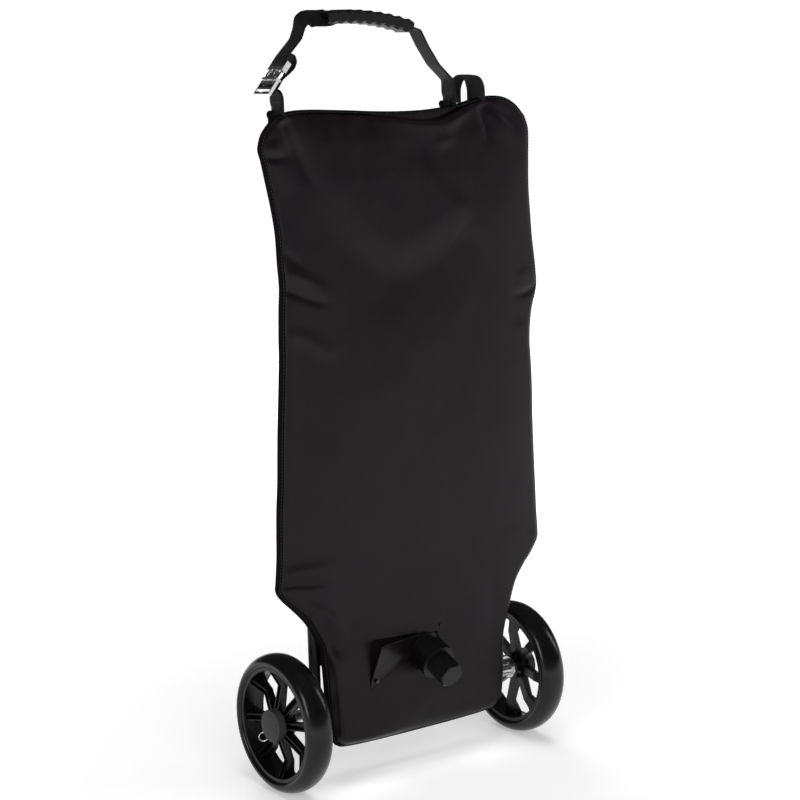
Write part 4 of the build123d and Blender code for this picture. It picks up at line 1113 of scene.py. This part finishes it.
def stitchTree():
    tree = bpy.data.node_groups.new("stitchLines", "GeometryNodeTree")
    sides = tree.interface
    sides.new_socket("Geometry", in_out="INPUT", socket_type="NodeSocketGeometry")
    for name in ("Stitch length", "Stitch gap", "Thread radius"):
        sides.new_socket(name, in_out="INPUT", socket_type="NodeSocketFloat")
    sides.new_socket("Seed", in_out="INPUT", socket_type="NodeSocketInt")
    sides.new_socket("Geometry", in_out="OUTPUT", socket_type="NodeSocketGeometry")

    given = put(tree, "NodeGroupInput").outputs
    length, radius = given["Stitch length"], given["Thread radius"]
    curve = put(tree, "GeometryNodeMeshToCurve", {"Mesh": given["Geometry"]}).outputs["Curve"]
    pitch = sums(tree, "ADD", length, given["Stitch gap"])
    spots = put(tree, "GeometryNodeCurveToPoints", {"Curve": curve, "Length": pitch}, mode="LENGTH").outputs
    bead = put(tree, "GeometryNodeMeshUVSphere", {"Segments": 6, "Rings": 4, "Radius": 1.0}).outputs["Mesh"]
    half = sums(tree, "MULTIPLY", length, .5)
    size = put(tree, "CombineXYZ", {0: radius, 1: radius, 2: half}).outputs[0]
    thread = put(tree, "GeometryNodeTransform", {"Geometry": bead, "Scale": size}).outputs["Geometry"]
    feeds = {2: .9, 3: 1.08, "Seed": given["Seed"]}
    vary = put(tree, "FunctionNodeRandomValue", feeds, data_type="FLOAT").outputs[1]
    feeds = {"Points": spots["Points"], "Instance": thread, "Rotation": spots["Rotation"], "Scale": vary}
    placed = put(tree, "GeometryNodeInstanceOnPoints", feeds).outputs["Instances"]
    real = put(tree, "GeometryNodeRealizeInstances", {0: placed}).outputs[0]
    feeds = {"Geometry": real, "Material": finishes["sewingThread"]}
    done = put(tree, "GeometryNodeSetMaterial", feeds).outputs["Geometry"]
    put(tree, "NodeGroupOutput", {"Geometry": done})
    return tree


stitchLines = stitchTree()


def stitchPiece(name, runs, body, slot):
    # runs: lists of upright points that the thread follows
    points, edges = [], []
    for run in runs:
        first = len(points)
        points += [tuple(p) for p in inRow(run)]
        edges += [(i, i + 1) for i in range(first, len(points) - 1)]
    mesh = bpy.data.meshes.new(name)
    mesh.from_pydata(points, edges, [])
    piece = addPiece(name, mesh)
    laid = piece.modifiers.new("stitches", "NODES")
    laid.node_group = stitchLines
    given = {"Stitch length": sewing["length"], "Stitch gap": sewing["gap"],
             "Thread radius": sewing["radius"], "Seed": sewing["seed"]}
    for item in stitchLines.interface.items_tree:
        if item.in_out == "INPUT" and item.name in given:
            laid[item.identifier] = given[item.name]
    return carry(shadeSmooth(settle(piece)), body, slot)


def boxAndCross(x, low, high, half, y):
    # The four sides and two diagonals of a sewn box on a tab
    corners = [(x - half, y, low), (x + half, y, low), (x + half, y, high), (x - half, y, high)]
    pairs = [(0, 1), (1, 2), (2, 3), (3, 0), (0, 2), (1, 3)]
    return [np.array([corners[i], corners[j]]) for i, j in pairs]


def coverStitches():
    loop = outlineLoop(tapeFold["samples"] + 1)[:-1]
    runs = []
    for front in (True, False):
        line = tapeFace(loop, sewing["inset"], sewing["lift"], front)
        runs.append(np.vstack([line, line[:1]]))
    back = tabPlaces["flatY"] + sewing["stand"]
    for x in (tabPlaces["left"], tabPlaces["right"]):
        runs += boxAndCross(x, *sewing["box"], sewing["boxHalf"], back)
    return stitchPiece("coverStitches", runs, "tank", "binding")


def handleStitches():
    # Two bars across each foot, on its left side, and two where the webbing is folded back
    near = webbing["y"] - sewing["barStart"]
    spots = [(handleRoute[foot] - sewing["stand"], z) for z in sewing["footBars"]
             for foot in ("leftFoot", "rightFoot")]
    spots += [atBuckle(along, sewing["foldOut"]) for along in sewing["foldBars"]]
    runs = [np.array([(x, near, z), (x, near + sewing["barWidth"], z)]) for x, z in spots]
    return stitchPiece("handleStitches", runs, "handle", "webbing")


coverThread = coverStitches()
handleThread = handleStitches()
print("stitches:", len(coverThread.data.polygons), "and", len(handleThread.data.polygons), "faces")

# Camera, floor and light
view = {"azimuth": 37.14, "elevation": 11.84, "distance": 2.778, "lens": 103.2, "sensor": 36.0,
        "target": (-.0052, .00896, .4586)}
studio = {
    "floorGlow": (.34, 1.0), "glowRun": (.35, 1.9), "floorHalf": 40.0, "zenith": .05,
    "horizon": 1.0, "skyline": (-.03, .13), "shownInGloss": ("leftSoftbox", "rightSoftbox"),
    # name: (place, size, watts, aim)
    "lamps": {
        "leftSoftbox": ((-2.7, -1.4, 1.6), (.9, 1.8), 30, (0, 0, .45)),
        "rightSoftbox": ((2.7, -.9, 1.5), (.28, 1.5), 9, (0, 0, .2)),
        "frontFill": ((-.9, -2.9, 1.4), (1.8, 1.8), 30, (0, 0, .4)),
        "topSoftbox": ((0, -.4, 2.9), (2.2, 1.6), 38, (0, 0, .3)),
        "backSoftbox": ((.6, 2.6, 1.9), (2.0, 1.4), 40, (0, 0, .5)),
    },
}


def setCamera():
    azimuth, elevation = math.radians(view["azimuth"]), math.radians(view["elevation"])
    back = Vector((-math.sin(azimuth) * math.cos(elevation), -math.cos(azimuth) * math.cos(elevation),
                   math.sin(elevation)))
    data = bpy.data.cameras.new("camera")
    data.lens, data.sensor_width = view["lens"], view["sensor"]
    camera = addPiece("camera", data)
    camera.location = Vector(view["target"]) + back * view["distance"]
    camera.rotation_euler = back.to_track_quat("Z", "Y").to_euler()
    bpy.context.scene.camera = camera


def whiteFloor():
    half = studio["floorHalf"]
    corners = [(-half, -half, 0), (half, -half, 0), (half, half, 0), (-half, half, 0)]
    mesh = bpy.data.meshes.new("studioFloor")
    mesh.from_pydata(corners, [], [(0, 1, 2, 3)])
    floor = addPiece("studioFloor", mesh)
    material = bpy.data.materials.new("studioFloor")
    material.use_nodes = True
    tree = material.node_tree
    tree.nodes.clear()
    rays = put(tree, "LightPath").outputs
    seen = sums(tree, "MAXIMUM", rays["Is Camera Ray"], sums(tree, "MAXIMUM", rays["Is Glossy Ray"],
                                                             rays["Is Transmission Ray"]))
    matt = put(tree, "BsdfDiffuse", {"Color": tone(.8, .8, .8)}).outputs[0]
    place = put(tree, "TexCoord").outputs["Object"]
    away = put(tree, "VectorMath", {0: place}, operation="LENGTH").outputs["Value"]
    feeds = dict(enumerate((away, *studio["glowRun"], *studio["floorGlow"])))
    strength = put(tree, "MapRange", feeds, interpolation_type="SMOOTHSTEP")
    glow = put(tree, "Emission", {"Color": tone(1, 1, 1), "Strength": strength.outputs[0]}).outputs[0]
    lit = put(tree, "AddShader", {0: matt, 1: glow}).outputs[0]
    mixed = put(tree, "MixShader", {0: seen, 1: matt, 2: lit}).outputs[0]
    put(tree, "OutputMaterial", {"Surface": mixed})
    mesh.materials.append(material)


def setLight():
    for name, (place, size, watts, aim) in studio["lamps"].items():
        data = bpy.data.lights.new(name, "AREA")
        data.shape, data.size, data.size_y, data.energy = "RECTANGLE", size[0], size[1], watts
        lamp = addPiece(name, data)
        lamp.location = place
        lamp.visible_glossy = name in studio["shownInGloss"]
        lamp.rotation_euler = (Vector(place) - Vector(aim)).to_track_quat("Z", "Y").to_euler()
    world = bpy.data.worlds.new("studio")
    bpy.context.scene.world = world
    world.use_nodes = True
    tree = world.node_tree
    tree.nodes.clear()
    rays = put(tree, "LightPath").outputs
    height = put(tree, "SeparateXYZ", {0: put(tree, "TexCoord").outputs["Generated"]}).outputs[2]
    feeds = dict(enumerate((height, *studio["skyline"], studio["horizon"], studio["zenith"])))
    upper = put(tree, "MapRange", feeds, interpolation_type="SMOOTHSTEP").outputs[0]
    strength = sums(tree, "MAXIMUM", rays["Is Camera Ray"], upper)
    sky = put(tree, "Background", {"Color": tone(1, 1, 1), "Strength": strength}).outputs[0]
    put(tree, "OutputWorld", {"Surface": sky})


setCamera()
whiteFloor()
setLight()
bpy.context.scene.view_settings.view_transform = "Standard"

print("scene made")
